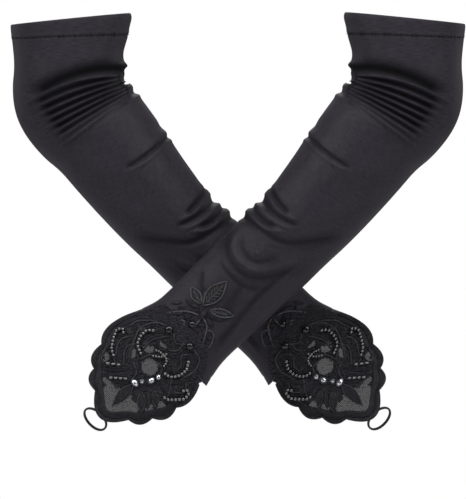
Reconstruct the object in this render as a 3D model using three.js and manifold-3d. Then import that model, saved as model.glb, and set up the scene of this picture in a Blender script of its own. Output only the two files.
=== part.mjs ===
// A pair of fingerless opera gloves: satin sleeves that reach over the elbow, a sheer tulle flap over the
// back of each hand with corded lace, beads and stones sewn on it, and an elastic loop for the middle finger.
// Both gloves hold the shape of an arm, hang with the hands down, and cross in front of the wearer.
//
// Millimetres, +Z up. The origin lies midway between the two arm openings, level with their rims.
// The back of each hand faces -Y. The left glove (the wearer's left, at +X) passes in front of the right one.
//
// One glove is modelled in its own plane. A place on it is given by its distance down the arm from the rim,
// and either by an angle round the sleeve (0 at the little-finger side, 90 at the palm) or by its offset
// across the back of the hand. Lift is the height over the outer face of the satin.
import * as THREE from "three";
import { mergeVertices } from "three/addons/utils/BufferGeometryUtils.js";
import Module from "manifold-3d";

const wasm = await Module();
wasm.setup();

// ---- the wearer's pose ----
const FOREARM_TILT = 44.5; // degrees between the hanging upper arm and the forearm
const ELBOW_RADIUS = 46; // of the arm's centreline round the crook of the elbow
const CROSSING_ABOVE_WRIST = 51; // along the arm, from the wrist to where the two gloves cross
const LAYER = 30; // from the middle plane of the pair to the middle plane of each glove
const RIM_SLANT = 5.3; // degrees by which the rim drops towards the outside of the arm

// ---- lengths down the arm ----
const UPPER_LENGTH = 46; // rim to the start of the elbow's bend
const FOREARM_LENGTH = 212; // end of the bend to the wrist
const CUFF_LENGTH = 24; // wrist to the edge of the satin
const BEND_LENGTH = ELBOW_RADIUS * THREE.MathUtils.degToRad(FOREARM_TILT);
const FOREARM_START = UPPER_LENGTH + BEND_LENGTH;
const WRIST = FOREARM_START + FOREARM_LENGTH;
const CUFF_END = WRIST + CUFF_LENGTH;

// ---- the parts of the sleeve that fold ----
const ELBOW_FOLD_START = 20; // rim to the cloth that folds at the elbow
const ELBOW_FOLD_PAST = 23; // how far the folding cloth runs past the bend
const WRIST_HINGE_ABOVE = 8; // the wrist bends this far above the wrist line
const WRIST_FOLD_HALF = 8; // half the length of the cloth that folds there

// ---- cloth, thread and gaps ----
const WALL = 1.2; // satin, with its backing
const SEAM_GAP = 0.4; // between two neighbouring lengths of cloth
const LAYER_GAP = 0.35; // between the layers of a hem
const TAPE = 0.8; // thickness of hem facings and the elastic
const HEM_DEPTH = 13; // turned hem at the arm opening
const CUFF_HEM_DEPTH = 9;
const SEAM_WIDTH = 5; // of the seam allowance inside the forearm
const TULLE_LIFT = 0.8;
const TULLE = 0.6;
const LACE_GAP = 0.5;
const LACE = 1.0; // thickness of the embroidery
const BEAD_GAP = 0.35;
const BEAD_RADIUS = 1.2;
const BUGLE_RADIUS = 1.1;
const THREAD_RADIUS = 0.45;
const LOOP_RADIUS = 10; // finger loop, to the middle of its cord
const LOOP_CORD = 1.0; // radius of the elastic cord
const LOOP_LEAN = 35; // degrees by which the loop leans towards the fingertips
const LACE_LIFT = TULLE_LIFT + TULLE + LACE_GAP;
const LACE_TOP = LACE_LIFT + LACE;
const BEAD_LIFT = LACE_TOP + BEAD_GAP + BEAD_RADIUS;
const SATIN_LACE_LIFT = 0.7; // where the lace lies straight on the satin

const ROUND = 24; // facets round a sleeve

// ---- girth of the arm inside the cloth: distance, half width, sideways shift, half depth ----
// Each row hangs on one of the lengths above, so that the girths follow a change of length.
const GIRTHS = [
  [0, 45, 0, 41],
  [UPPER_LENGTH * 0.7, 42.5, 0, 40],
  [UPPER_LENGTH + BEND_LENGTH / 2, 43.5, 0, 39],
  [FOREARM_START + 12, 41, -1.5, 37],
  [FOREARM_START + FOREARM_LENGTH * 0.24, 38.8, 2, 34],
  [FOREARM_START + FOREARM_LENGTH * 0.44, 35.5, 6, 30],
  [FOREARM_START + FOREARM_LENGTH * 0.62, 34.6, 6, 27],
  [WRIST - 13, 33.2, 4.3, 21],
  [WRIST + 4, 33.6, 4, 19.5],
  [CUFF_END, 38.5, 2, 18],
  [CUFF_END + 18, 50, -1, 16.5],
  [CUFF_END + 76, 50, -1, 13],
];

function girth(distance) {
  const last = GIRTHS.length - 1;
  let i = 1;
  while (i < last && distance > GIRTHS[i][0]) i++;
  const [low, high] = [GIRTHS[i - 1], GIRTHS[i]];
  const share = THREE.MathUtils.clamp((distance - low[0]) / (high[0] - low[0]), 0, 1);
  const [halfWidth, shift, halfDepth] = [1, 2, 3].map((k) => THREE.MathUtils.lerp(low[k], high[k], share));
  return { halfWidth, shift, halfDepth };
}

// The arm's centreline at a distance from the rim: its point, the way down the arm, and the way to the
// little-finger side. It hangs straight, turns round the crook of the elbow, and runs straight again.
function armFrame(distance) {
  const turn = THREE.MathUtils.clamp((distance - UPPER_LENGTH) / ELBOW_RADIUS, 0, BEND_LENGTH / ELBOW_RADIUS);
  const along = new THREE.Vector3(-Math.sin(turn), 0, -Math.cos(turn));
  const outward = new THREE.Vector3(Math.cos(turn), 0, -Math.sin(turn));
  const centre = new THREE.Vector3(-ELBOW_RADIUS, 0, -Math.min(distance, UPPER_LENGTH))
    .addScaledVector(outward, ELBOW_RADIUS)
    .addScaledVector(along, Math.max(0, distance - FOREARM_START));
  return { centre, along, outward };
}

// The slant of the rim fades out where the cloth of the elbow starts.
function sleevePoint(distance, angle, lift) {
  const { halfWidth, shift, halfDepth } = girth(distance);
  const across = shift + (halfWidth + lift) * Math.cos(angle);
  const slant = Math.tan(THREE.MathUtils.degToRad(RIM_SLANT)) * Math.max(0, 1 - distance / ELBOW_FOLD_START);
  const { centre, outward } = armFrame(distance + slant * across);
  const depth = (halfDepth + lift) * Math.sin(angle);
  return new THREE.Vector3(0, depth, 0).add(centre).addScaledVector(outward, across);
}

// The way out of the cloth on the back of the hand and arm, at an offset across it.
function backNormal(distance, offset) {
  const { outward } = armFrame(distance);
  const { halfWidth, shift, halfDepth } = girth(distance);
  const cosine = (offset - shift) / halfWidth;
  const sine = -Math.sqrt(Math.max(0, 1 - cosine * cosine));
  return new THREE.Vector3(0, sine / halfDepth, 0).addScaledVector(outward, cosine / halfWidth).normalize();
}

function backPoint(distance, offset, lift) {
  const { halfWidth, shift } = girth(distance);
  const angle = -Math.acos(THREE.MathUtils.clamp((offset - shift) / halfWidth, -1, 1));
  return sleevePoint(distance, angle, 0).addScaledVector(backNormal(distance, offset), lift);
}

// ---- geometry helpers ----
function bare(geometry) {
  geometry.deleteAttribute("normal");
  geometry.deleteAttribute("uv");
  return mergeVertices(geometry, 1e-4);
}

function toSolid(geometry) {
  const clean = bare(geometry);
  return new wasm.Manifold(
    new wasm.Mesh({
      numProp: 3,
      vertProperties: new Float32Array(clean.attributes.position.array),
      triVerts: new Uint32Array(clean.index.array),
    }),
  );
}

function fromSolid(solid) {
  const { vertProperties, triVerts } = solid.getMesh();
  return new THREE.BufferGeometry()
    .setAttribute("position", new THREE.BufferAttribute(vertProperties, 3))
    .setIndex(new THREE.BufferAttribute(triVerts, 1));
}

function joined(geometries) {
  return fromSolid(geometries.map(toSolid).reduce((whole, piece) => whole.add(piece)));
}

function fromPoints(points, faces) {
  const geometry = new THREE.BufferGeometry().setFromPoints(points);
  return facingOut(geometry.setIndex(faces));
}

// Turns every face round if the body is inside out.
function facingOut(geometry) {
  const at = geometry.attributes.position;
  const index = geometry.index.array;
  const [a, b, c] = [new THREE.Vector3(), new THREE.Vector3(), new THREE.Vector3()];
  let volume = 0;
  for (let i = 0; i < index.length; i += 3) {
    a.fromBufferAttribute(at, index[i]);
    b.fromBufferAttribute(at, index[i + 1]);
    c.fromBufferAttribute(at, index[i + 2]);
    volume += a.dot(b.cross(c));
  }
  if (volume < 0) {
    for (let i = 0; i < index.length; i += 3) [index[i + 1], index[i + 2]] = [index[i + 2], index[i + 1]];
  }
  return geometry;
}

// A closed sheet between a top and a bottom grid of points. A wrapped grid closes on itself.
function sheet(rows, columns, wrapped, top, bottom) {
  const width = wrapped ? columns : columns + 1;
  const points = [];
  for (const face of [top, bottom]) {
    for (let r = 0; r <= rows; r++) {
      for (let c = 0; c < width; c++) points.push(face(r / rows, c / columns));
    }
  }
  const at = (side, r, c) => side * (rows + 1) * width + r * width + (c % width);
  const faces = [];
  const quad = (p, q, s, u) => faces.push(p, q, s, p, s, u);
  for (let c = 0; c < columns; c++) {
    for (let r = 0; r < rows; r++) {
      quad(at(0, r, c), at(0, r, c + 1), at(0, r + 1, c + 1), at(0, r + 1, c));
      quad(at(1, r, c), at(1, r + 1, c), at(1, r + 1, c + 1), at(1, r, c + 1));
    }
    quad(at(0, 0, c + 1), at(0, 0, c), at(1, 0, c), at(1, 0, c + 1));
    quad(at(0, rows, c), at(0, rows, c + 1), at(1, rows, c + 1), at(1, rows, c));
  }
  for (let r = 0; r < rows && !wrapped; r++) {
    quad(at(0, r, 0), at(0, r + 1, 0), at(1, r + 1, 0), at(1, r, 0));
    quad(at(0, r + 1, columns), at(0, r, columns), at(1, r, columns), at(1, r + 1, columns));
  }
  return fromPoints(points, faces);
}

// A length of sleeve all the way round the arm, between two lifts.
function sleeve(from, to, rows, low, high) {
  const face = (lift) => (r, c) => sleevePoint(THREE.MathUtils.lerp(from, to, r), c * 2 * Math.PI, lift);
  return sheet(rows, ROUND, true, face(high), face(low));
}

const place = ([offset, past]) => new THREE.Vector2(offset, past);

// Flat pieces of lace, drawn as offset across the hand and distance past the wrist, are joined, and then
// bent onto the back of the hand.
function laceOn(shapes, low, thickness) {
  const flat = { depth: 1, bevelEnabled: false, curveSegments: 4 };
  const geometry = joined(shapes.map((shape) => new THREE.ExtrudeGeometry(shape, flat)));
  const at = geometry.attributes.position;
  for (let i = 0; i < at.count; i++) {
    const point = backPoint(WRIST + at.getY(i), at.getX(i), low + thickness * at.getZ(i));
    at.setXYZ(i, point.x, point.y, point.z);
  }
  return facingOut(geometry);
}

// A tube of changing thickness along points, with a way up at each point.
function beaded(points, ups, radii, sides) {
  const ring = points.flatMap((point, i) => {
    const ahead = points[Math.min(i + 1, points.length - 1)].clone().sub(points[Math.max(i - 1, 0)]);
    const side = ahead.cross(ups[i]).normalize();
    return Array.from({ length: sides }, (_, k) => {
      const angle = (k * 2 * Math.PI) / sides;
      return point
        .clone()
        .addScaledVector(side, radii[i] * Math.cos(angle))
        .addScaledVector(ups[i], radii[i] * Math.sin(angle));
    });
  });
  const faces = [];
  const last = points.length - 1;
  for (let k = 0; k < sides; k++) {
    const next = (k + 1) % sides;
    for (let i = 0; i < last; i++) {
      const [p, q] = [i * sides, (i + 1) * sides];
      faces.push(p + k, p + next, q + next, p + k, q + next, q + k);
    }
    if (k > 0 && k < sides - 1) {
      faces.push(0, k + 1, k, last * sides, last * sides + k, last * sides + k + 1);
    }
  }
  return fromPoints(ring, faces);
}

// Beads threaded along a curve that is drawn on the back of the hand. Each bead swells from the thread to
// its radius; a bugle bead stays thick for most of its length.
function beadString(places, count, { radius = BEAD_RADIUS, bugle = false, lift = BEAD_LIFT } = {}) {
  const curve = new THREE.SplineCurve(places.map(place));
  const thread = (at) => ({ at, size: THREAD_RADIUS });
  const full = (at) => ({ at, size: radius });
  const oneBead = bugle ? [thread(0.12), full(0.2), full(0.8), thread(0.88)] : [full(0.5), thread(0.95)];
  const rings = [thread(0.05), ...Array.from({ length: count }, (_, bead) => shifted(oneBead, bead)).flat()];
  const spots = rings.map(({ at }) => curve.getPointAt(at / count));
  const points = spots.map((spot) => backPoint(WRIST + spot.y, spot.x, lift));
  const ups = spots.map((spot) => backNormal(WRIST + spot.y, spot.x));
  return beaded(points, ups, rings.map(({ size }) => size), 4);
}

const shifted = (rings, by) => rings.map(({ at, size }) => ({ at: at + by, size }));

// ---- flat shapes of the lace, in offset across the hand and distance past the wrist ----
// A pointed leaf from its stalk to its tip.
function leaf(stalk, tip, width) {
  const [start, end] = [place(stalk), place(tip)];
  const along = end.clone().sub(start);
  const side = new THREE.Vector2(-along.y, along.x).setLength(width);
  const left = start.clone().addScaledVector(along, 0.45).add(side);
  const right = start.clone().addScaledVector(along, 0.45).sub(side);
  const shape = new THREE.Shape().moveTo(start.x, start.y);
  shape.quadraticCurveTo(left.x, left.y, end.x, end.y);
  return shape.quadraticCurveTo(right.x, right.y, start.x, start.y);
}

// A ribbon of even width along a curve.
function ribbon(places, width, steps = 6) {
  const curve = new THREE.SplineCurve(places.map(place));
  const [left, right] = [[], []];
  for (let i = 0; i <= steps; i++) {
    const point = curve.getPointAt(i / steps);
    const along = curve.getTangentAt(i / steps);
    const side = new THREE.Vector2(-along.y, along.x).multiplyScalar(width / 2);
    left.push(point.clone().add(side));
    right.unshift(point.clone().sub(side));
  }
  return new THREE.Shape([...left, ...right]);
}

function disc([offset, past], radius, sides = 10) {
  const corner = (k) => {
    const angle = (k * 2 * Math.PI) / sides;
    return new THREE.Vector2(offset + radius * Math.cos(angle), past + radius * Math.sin(angle));
  };
  return new THREE.Shape(Array.from({ length: sides }, (_, k) => corner(k)));
}

// ---- the sleeve ----
const ELBOW_FOLD_END = FOREARM_START + ELBOW_FOLD_PAST;
const WRIST_HINGE = WRIST - WRIST_HINGE_ABOVE;
const WRIST_FOLD_START = WRIST_HINGE - WRIST_FOLD_HALF;
const WRIST_FOLD_END = WRIST_HINGE + WRIST_FOLD_HALF;

function sleevePieces() {
  const insideElastic = -WALL - LAYER_GAP;
  const insideFacing = insideElastic - TAPE - LAYER_GAP;
  const stitchLift = 0.35;
  const stitchWidth = 0.9;
  const seamStart = ELBOW_FOLD_END + 4;
  const seamEnd = WRIST_FOLD_START - 4;
  const seamAngle = THREE.MathUtils.degToRad(50);
  const seamSpread = SEAM_WIDTH / 36;
  const seamFace = (lift) => (r, c) =>
    sleevePoint(THREE.MathUtils.lerp(seamStart, seamEnd, r), seamAngle + (c - 0.5) * seamSpread, lift);
  return {
    upper_sleeve: sleeve(0, ELBOW_FOLD_START, 2, -WALL, 0),
    hem_elastic: sleeve(2, HEM_DEPTH - 2, 1, insideElastic - TAPE, insideElastic),
    hem_facing: sleeve(1, HEM_DEPTH, 1, insideFacing - TAPE, insideFacing),
    hem_stitching: sleeve(HEM_DEPTH - 1, HEM_DEPTH - 1 + stitchWidth, 1, stitchLift, stitchLift + TAPE),
    elbow_section: sleeve(ELBOW_FOLD_START + SEAM_GAP, ELBOW_FOLD_END - SEAM_GAP, 6, -WALL, 0),
    forearm_sleeve: sleeve(ELBOW_FOLD_END, WRIST_FOLD_START, 6, -WALL, 0),
    forearm_seam: sheet(6, 1, false, seamFace(insideElastic), seamFace(insideElastic - TAPE)),
    wrist_section: sleeve(WRIST_FOLD_START + SEAM_GAP, WRIST_FOLD_END - SEAM_GAP, 1, -WALL, 0),
    hand_cuff: sleeve(WRIST_FOLD_END, CUFF_END, 2, -WALL, 0),
    cuff_hem: sleeve(CUFF_END - CUFF_HEM_DEPTH, CUFF_END - 1, 1, insideElastic - TAPE, insideElastic),
  };
}

// ---- the flap over the back of the hand ----
// Places on the flap are [offset, distance past the wrist]; a negative offset is on the thumb side.
const FLAP_LENGTH = 97.3; // wrist to the tip of the middle lobe
// The scallops: the notches, and the furthest point of the lobe between each notch and the next.
const NOTCHES = [
  [-35, 22],
  [-37, 57],
  [-28.3, 74],
  [-16.2, 85.2],
  [17.1, 83.3],
  [29, 69.8],
  [36.1, 51.5],
  [36, 27],
];
const LOBES = [[-42.5, 43], [-36, 68.5], [-25.5, 82.5], [1, FLAP_LENGTH], [26, 79.5], [36.8, 62.5], [40, 41]];
// The inner edge of the border, from the first notch by each lobe to the last notch.
const BORDER_INSIDE = [
  [-30, 22],
  [-34.5, 40],
  [-31, 55],
  [-29, 64],
  [-23.5, 70],
  [-19, 75],
  [-11.5, 80.5],
  [0.5, 89],
  [12, 79],
  [19, 73.5],
  [23.5, 66],
  [29, 57.5],
  [30.5, 50],
  [33, 39],
  [31, 27],
];
const TULLE_START = 12; // past the wrist: the tulle is sewn over the end of the satin
// The edges of the tulle, just inside the scallops: distance past the wrist, thumb side, little-finger side.
const TULLE_EDGES = [
  [TULLE_START, -27.5, 28],
  [22, -33.5, 34],
  [38, -37.5, 36.5],
  [51, -37, 35],
  [57, -35.5, 33.5],
  [69, -29.5, 28.5],
  [78, -22.5, 21],
  [86, -13.5, 14],
  [FLAP_LENGTH - 3.3, -4.5, 5.5],
];

function tulleEdge(past, side) {
  let i = 1;
  while (i < TULLE_EDGES.length - 1 && past > TULLE_EDGES[i][0]) i++;
  const [low, high] = [TULLE_EDGES[i - 1], TULLE_EDGES[i]];
  return THREE.MathUtils.mapLinear(past, low[0], high[0], low[side], high[side]);
}

function tullePanel() {
  const tip = TULLE_EDGES[TULLE_EDGES.length - 1][0];
  const face = (lift) => (r, c) => {
    const past = THREE.MathUtils.lerp(TULLE_START, tip, r);
    const offset = THREE.MathUtils.lerp(tulleEdge(past, 1), tulleEdge(past, 2), c);
    return backPoint(WRIST + past, offset, lift);
  };
  return sheet(11, 12, false, face(TULLE_LIFT + TULLE), face(TULLE_LIFT));
}

// The border is a band from the scalloped edge to a smoother inner edge.
function scallopBorder() {
  const outer = new THREE.CurvePath();
  LOBES.forEach((lobe, i) => {
    // The control point that carries the curve through the lobe's furthest point.
    const [from, to] = [NOTCHES[i], NOTCHES[i + 1]];
    const control = [0, 1].map((k) => 2 * lobe[k] - (from[k] + to[k]) / 2);
    outer.add(new THREE.QuadraticBezierCurve(place(from), place(control), place(to)));
  });
  const inner = new THREE.SplineCurve(BORDER_INSIDE.map(place));
  const rowsPerLobe = 6;
  const rows = LOBES.length * rowsPerLobe;
  const face = (lift) => (r, c) => {
    const lobe = Math.min(LOBES.length - 1, Math.floor(r * LOBES.length + 1e-9));
    const point = outer.curves[lobe].getPoint(r * LOBES.length - lobe).lerp(inner.getPoint(r), c);
    return backPoint(WRIST + point.y, point.x, lift);
  };
  return sheet(rows, 2, false, face(LACE_TOP), face(LACE_LIFT));
}

// Curves that a ribbon of lace and the beads on it share.
const CRESCENT = [[-14, 21.4], [-18, 23.5], [-20, 30], [-18.4, 37.8], [-13, 41], [-9.5, 42]];
const HOOK = [[17.7, 19.4], [20.4, 23.5], [21.6, 29.3], [19.5, 35.2], [15.5, 38.2], [11.3, 38.9]];
const CROSS = [[-4.8, 31.8], [-1, 35], [3, 29.5], [7, 30.5], [7.4, 35.5]];
const THUMB_SCROLL = [[-26.5, 37], [-29.5, 44], [-27.8, 51.5], [-21.5, 57]];
const THUMB_BEADS = [[-30, 40], [-32.5, 37.2], [-33.2, 42], [-31.1, 50.3], [-23.5, 57]];
const LITTLE_SCROLL = [[24, 52], [28, 49], [29.3, 43], [28.6, 37]];
const LITTLE_BEADS = [[22.6, 52.8], [27.8, 51.1], [32.2, 46], [33, 39], [30, 38]];
const STONES = [[0.9, 59.9, 2.6], [4, 55.3, 1.8], [8.2, 50, 2.5], [11.2, 44.2, 1.9]]; // offset, past, radius

function laceSolid(shapes) {
  return laceOn(shapes, LACE_LIFT, LACE);
}

function lacePieces() {
  const spray = [1.1, -20];
  return {
    tulle_panel: tullePanel(),
    scallop_border: scallopBorder(),
    thumb_side_lace: laceSolid([
      ribbon(THUMB_SCROLL, 4),
      ribbon(CRESCENT, 4),
      ribbon([[-28, 47], [-24, 44], [-20, 38], [-18.6, 35]], 2.5),
      leaf([-22.5, 41], [-13, 55], 5),
      leaf([-15, 51.5], [-23.5, 63.5], 5),
      leaf([-18, 25], [-28, 30], 4),
    ]),
    little_finger_side_lace: laceSolid([
      ribbon(HOOK, 4),
      ribbon(CROSS, 3.6),
      ribbon([[7, 34], [9, 37.5], [12.5, 38.7]], 3.6, 4),
      ribbon(LITTLE_SCROLL, 4),
      ribbon([[17, 37], [20, 44], [24.5, 51.5]], 5, 4),
      ribbon([[20.5, 26], [22, 18], [21, 9]], 2, 4),
      leaf([22, 17], [27.5, 10], 4),
      leaf([21.5, 11], [18, 3.5], 4),
    ]),
    leaf_spray: laceOn(
      [
        leaf(spray, [-2.7, -45.5], 8),
        leaf(spray, [-16.5, -30], 5),
        leaf(spray, [17, -32], 5),
        leaf(spray, [9.5, -38], 5),
        disc([1.1, -20.5], 2.4, 8),
      ],
      SATIN_LACE_LIFT,
      LACE,
    ),
    tip_leaf: laceSolid([leaf([1.4, 63.8], [1.2, 84], 6)]),
    side_leaves: laceSolid([
      leaf([5, 57.5], [19.5, 70.5], 6),
      leaf([11.2, 51.5], [24.6, 60.5], 6),
      ribbon([[4.6, 57.6], [7.6, 52.6], [11.4, 46]], 2.4, 3),
      ribbon([[10.4, 48.5], [11.6, 51], [13, 53]], 2.4, 2),
    ]),
    beaded_leaf: laceSolid([leaf([-1.6, 61], [-17, 73], 8)]),
  };
}

// A round bead in a ring of embroidery, turned on its own axis.
function rosette(radius) {
  const profile = [[0, 0], [1, 0], [1.02, 0.7], [0.8, 1.1], [0.58, 0.9], [0.5, 2.1], [0, 2.9]];
  const points = profile.map(([share, height]) => new THREE.Vector2(radius * share, height));
  return new THREE.LatheGeometry(points, 10);
}

// A cut stone: a collar, a sloping crown and a flat table.
function stone(radius) {
  const profile = [[0, 0], [1, 0], [1, 0.9], [0.55, 1.9], [0, 1.9]];
  const points = profile.map(([share, height]) => new THREE.Vector2(radius * share, height));
  return new THREE.LatheGeometry(points, 8);
}

// Stands a piece that was turned about Y on the back of the hand.
function standOn(object, offset, past, lift) {
  object.position.copy(backPoint(WRIST + past, offset, lift));
  object.quaternion.setFromUnitVectors(new THREE.Vector3(0, 1, 0), backNormal(WRIST + past, offset));
  return object;
}

// The stones are linked by a strip of metal cup chain.
function stoneChain() {
  const seat = LACE_TOP + BEAD_GAP;
  const link = beadString(STONES, STONES.length * 2, { radius: THREAD_RADIUS, lift: seat + 0.6 });
  const stones = STONES.map(([offset, past, radius]) => {
    const holder = standOn(new THREE.Object3D(), offset, past, seat);
    holder.updateMatrix();
    return stone(radius).applyMatrix4(holder.matrix);
  });
  return joined([link, ...stones]);
}

function beadPieces() {
  const bugle = { radius: BUGLE_RADIUS, bugle: true, lift: LACE_TOP + BEAD_GAP + BUGLE_RADIUS };
  return {
    thumb_edge_beads: beadString(THUMB_BEADS, 11),
    crescent_beads: beadString(CRESCENT, 11),
    cross_beads: beadString(CROSS, 7),
    hook_beads: beadString(HOOK, 12),
    little_finger_edge_beads: beadString(LITTLE_BEADS, 11),
    short_bugle_row: beadString([[-21.6, 61.8], [-14.8, 56.6]], 2, bugle),
    long_bugle_row: beadString([[-14.4, 71], [-4.6, 63.4]], 3, bugle),
    stone_chain: stoneChain(),
  };
}

// ---- finish of each piece ----
const finish = (color, roughness) => new THREE.MeshStandardMaterial({ color, roughness, metalness: 0 });
const SATIN = finish(0x2b292e, 0.42);
const SHEER = finish(0x1c191b, 0.9);
const EMBROIDERY = finish(0x1b1b1f, 0.7);
const BEADS = finish(0x08080a, 0.12);
const CRYSTAL = finish(0xb9bcc6, 0.05);
const ELASTIC = finish(0x141316, 0.8);
const FINISHES = {
  hem_elastic: ELASTIC,
  hem_stitching: EMBROIDERY,
  tulle_panel: SHEER,
  stone_chain: CRYSTAL,
};

// The elastic cord is sewn under the tip of the tulle. From there it leans towards the fingertips, round the
// middle finger.
function fingerLoop(name) {
  const loop = new THREE.Mesh(new THREE.TorusGeometry(LOOP_RADIUS, LOOP_CORD, 5, 16), ELASTIC);
  const past = FLAP_LENGTH - 2.8;
  const { along, outward } = armFrame(WRIST + past);
  const top = backPoint(WRIST + past, girth(WRIST + past).shift, TULLE_LIFT - SEAM_GAP - LOOP_CORD);
  const lean = THREE.MathUtils.degToRad(LOOP_LEAN);
  const down = new THREE.Vector3(0, Math.cos(lean), 0).addScaledVector(along, Math.sin(lean));
  loop.position.copy(top).addScaledVector(down, LOOP_RADIUS);
  const axes = new THREE.Matrix4().makeBasis(down, outward, down.clone().cross(outward));
  loop.quaternion.setFromRotationMatrix(axes);
  loop.name = name;
  return loop;
}

// ---- one whole glove, and the pair ----
function glove(side) {
  const group = new THREE.Group();
  const add = (name, geometry, material) => {
    const mesh = new THREE.Mesh(geometry, material);
    mesh.name = `${side}_${name}`;
    group.add(mesh);
    return mesh;
  };
  const addAll = (pieces, usual) => {
    for (const [name, geometry] of Object.entries(pieces)) add(name, geometry, FINISHES[name] ?? usual);
  };
  addAll(sleevePieces(), SATIN);
  addAll(lacePieces(), EMBROIDERY);
  addAll(beadPieces(), BEADS);
  standOn(add("wrist_rosette", rosette(3.6), BEADS), 1.9, 4.6, SATIN_LACE_LIFT);
  standOn(add("thumb_side_rosette", rosette(3.8), BEADS), -7.8, 16, LACE_LIFT);
  standOn(add("little_finger_side_rosette", rosette(3.8), BEADS), 11.6, 16, LACE_LIFT);
  group.add(fingerLoop(`${side}_finger_loop`));
  return group;
}

// The arm's centreline at the crossing lies on the pair's plane of symmetry.
const crossing = armFrame(WRIST - CROSSING_ABOVE_WRIST).centre.x;
const left = glove("left");
left.position.set(-crossing, -LAYER, 0);
const right = glove("right");
right.scale.x = -1;
right.position.set(crossing, LAYER, 0);

const gloves = new THREE.Group();
gloves.add(left, right);
export default gloves;
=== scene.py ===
"""The looks of a pair of fingerless satin opera gloves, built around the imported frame.

One glove is modelled in millimetres in its own plane, and its mirror image makes the other. A place on it is
given by its distance down the arm from the rim, and either by an angle round the sleeve (0 at the
little-finger side, 90 degrees at the palm) or by its offset across the back of the hand. Lift is the height
over the outer face of the satin. Places in the lace are (offset, distance past the wrist).
"""

import math

import bpy
import numpy as np
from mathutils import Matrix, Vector


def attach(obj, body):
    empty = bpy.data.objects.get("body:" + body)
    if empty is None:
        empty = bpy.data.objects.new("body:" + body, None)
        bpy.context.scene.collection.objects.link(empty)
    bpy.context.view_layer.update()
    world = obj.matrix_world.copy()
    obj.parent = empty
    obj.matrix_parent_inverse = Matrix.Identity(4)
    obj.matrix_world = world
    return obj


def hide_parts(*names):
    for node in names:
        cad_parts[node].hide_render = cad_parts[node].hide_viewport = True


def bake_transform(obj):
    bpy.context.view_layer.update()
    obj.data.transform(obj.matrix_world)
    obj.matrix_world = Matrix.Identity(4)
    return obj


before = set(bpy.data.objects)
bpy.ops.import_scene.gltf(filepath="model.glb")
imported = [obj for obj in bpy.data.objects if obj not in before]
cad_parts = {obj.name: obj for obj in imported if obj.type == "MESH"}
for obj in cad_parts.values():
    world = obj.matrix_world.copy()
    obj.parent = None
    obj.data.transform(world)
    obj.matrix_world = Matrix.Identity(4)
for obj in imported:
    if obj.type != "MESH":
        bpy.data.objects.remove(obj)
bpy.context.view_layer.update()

# ---- the glove's own sizes, in millimetres, as in the CAD ----
MM = 0.001
TILT = math.radians(44.5)
ELBOW_RADIUS = 46.0
UPPER_LENGTH = 46.0
FOREARM_LENGTH = 212.0
CUFF_LENGTH = 24.0
RIM_SLANT = math.tan(math.radians(5.3))
LAYER = 30.0
CROSSING_ABOVE_WRIST = 51.0
FOREARM_START = UPPER_LENGTH + ELBOW_RADIUS * TILT
WRIST = FOREARM_START + FOREARM_LENGTH
CUFF_END = WRIST + CUFF_LENGTH
ELBOW_FOLD_START = 20.0
ELBOW_FOLD_END = FOREARM_START + 23.0
WRIST_FOLD = (WRIST - 16.0, WRIST)
SPLIT = 185.0  # where one length of the visible satin ends and the next starts, halfway down the forearm
HEM_DEPTH = 12.5
SEAM_ANGLE = math.radians(50)
GIRTH_RADIUS = 40.0  # of the arm that UVs are laid out round
RIM_RADIUS = 43.0
SEAM_RADIUS = 36.0  # of the sleeve along its seam
FLAP_LENGTH = 97.3

# Distance down the arm, half width, sideways shift, half depth.
GIRTHS = np.array(
    [
        [0, 45, 0, 41],
        [UPPER_LENGTH * 0.7, 42.5, 0, 40],
        [UPPER_LENGTH + ELBOW_RADIUS * TILT / 2, 43.5, 0, 39],
        [FOREARM_START + 12, 41, -1.5, 37],
        [FOREARM_START + FOREARM_LENGTH * 0.24, 38.8, 2, 34],
        [FOREARM_START + FOREARM_LENGTH * 0.44, 35.5, 6, 30],
        [FOREARM_START + FOREARM_LENGTH * 0.62, 34.6, 6, 27],
        [WRIST - 13, 33.2, 4.3, 21],
        [WRIST + 4, 33.6, 4, 19.5],
        [CUFF_END, 38.5, 2, 18],
        [CUFF_END + 18, 50, -1, 16.5],
        [CUFF_END + 76, 50, -1, 13],
    ]
)


def smoothed_girths():
    """The girths at every millimetre, with their corners rounded off."""
    distances = np.arange(-10.0, 430.0)
    window = 13
    columns = []
    for k in (1, 2, 3):
        raw = np.interp(distances, GIRTHS[:, 0], GIRTHS[:, k])
        padded = np.pad(raw, window // 2, mode="edge")
        columns.append(np.convolve(padded, np.ones(window) / window, "valid"))
    return distances, columns


GIRTH_AT, GIRTH_COLUMNS = smoothed_girths()


def girth(distance):
    return [np.interp(distance, GIRTH_AT, column) for column in GIRTH_COLUMNS]


def arm_frame(distance):
    """The centreline, the way down the arm and the way to the little-finger side."""
    distance = np.asarray(distance, float)
    turn = np.clip((distance - UPPER_LENGTH) / ELBOW_RADIUS, 0, TILT)
    zero = np.zeros_like(turn)
    along = np.stack([-np.sin(turn), zero, -np.cos(turn)], -1)
    outward = np.stack([np.cos(turn), zero, -np.sin(turn)], -1)
    start = np.stack([zero - ELBOW_RADIUS, zero, -np.minimum(distance, UPPER_LENGTH)], -1)
    past_bend = np.maximum(0, distance - FOREARM_START)[..., None]
    return start + ELBOW_RADIUS * outward + past_bend * along, along, outward


CROSSING_X = float(arm_frame(WRIST - CROSSING_ABOVE_WRIST)[0][0])
Y_AXIS = np.array([0.0, 1.0, 0.0])


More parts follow.
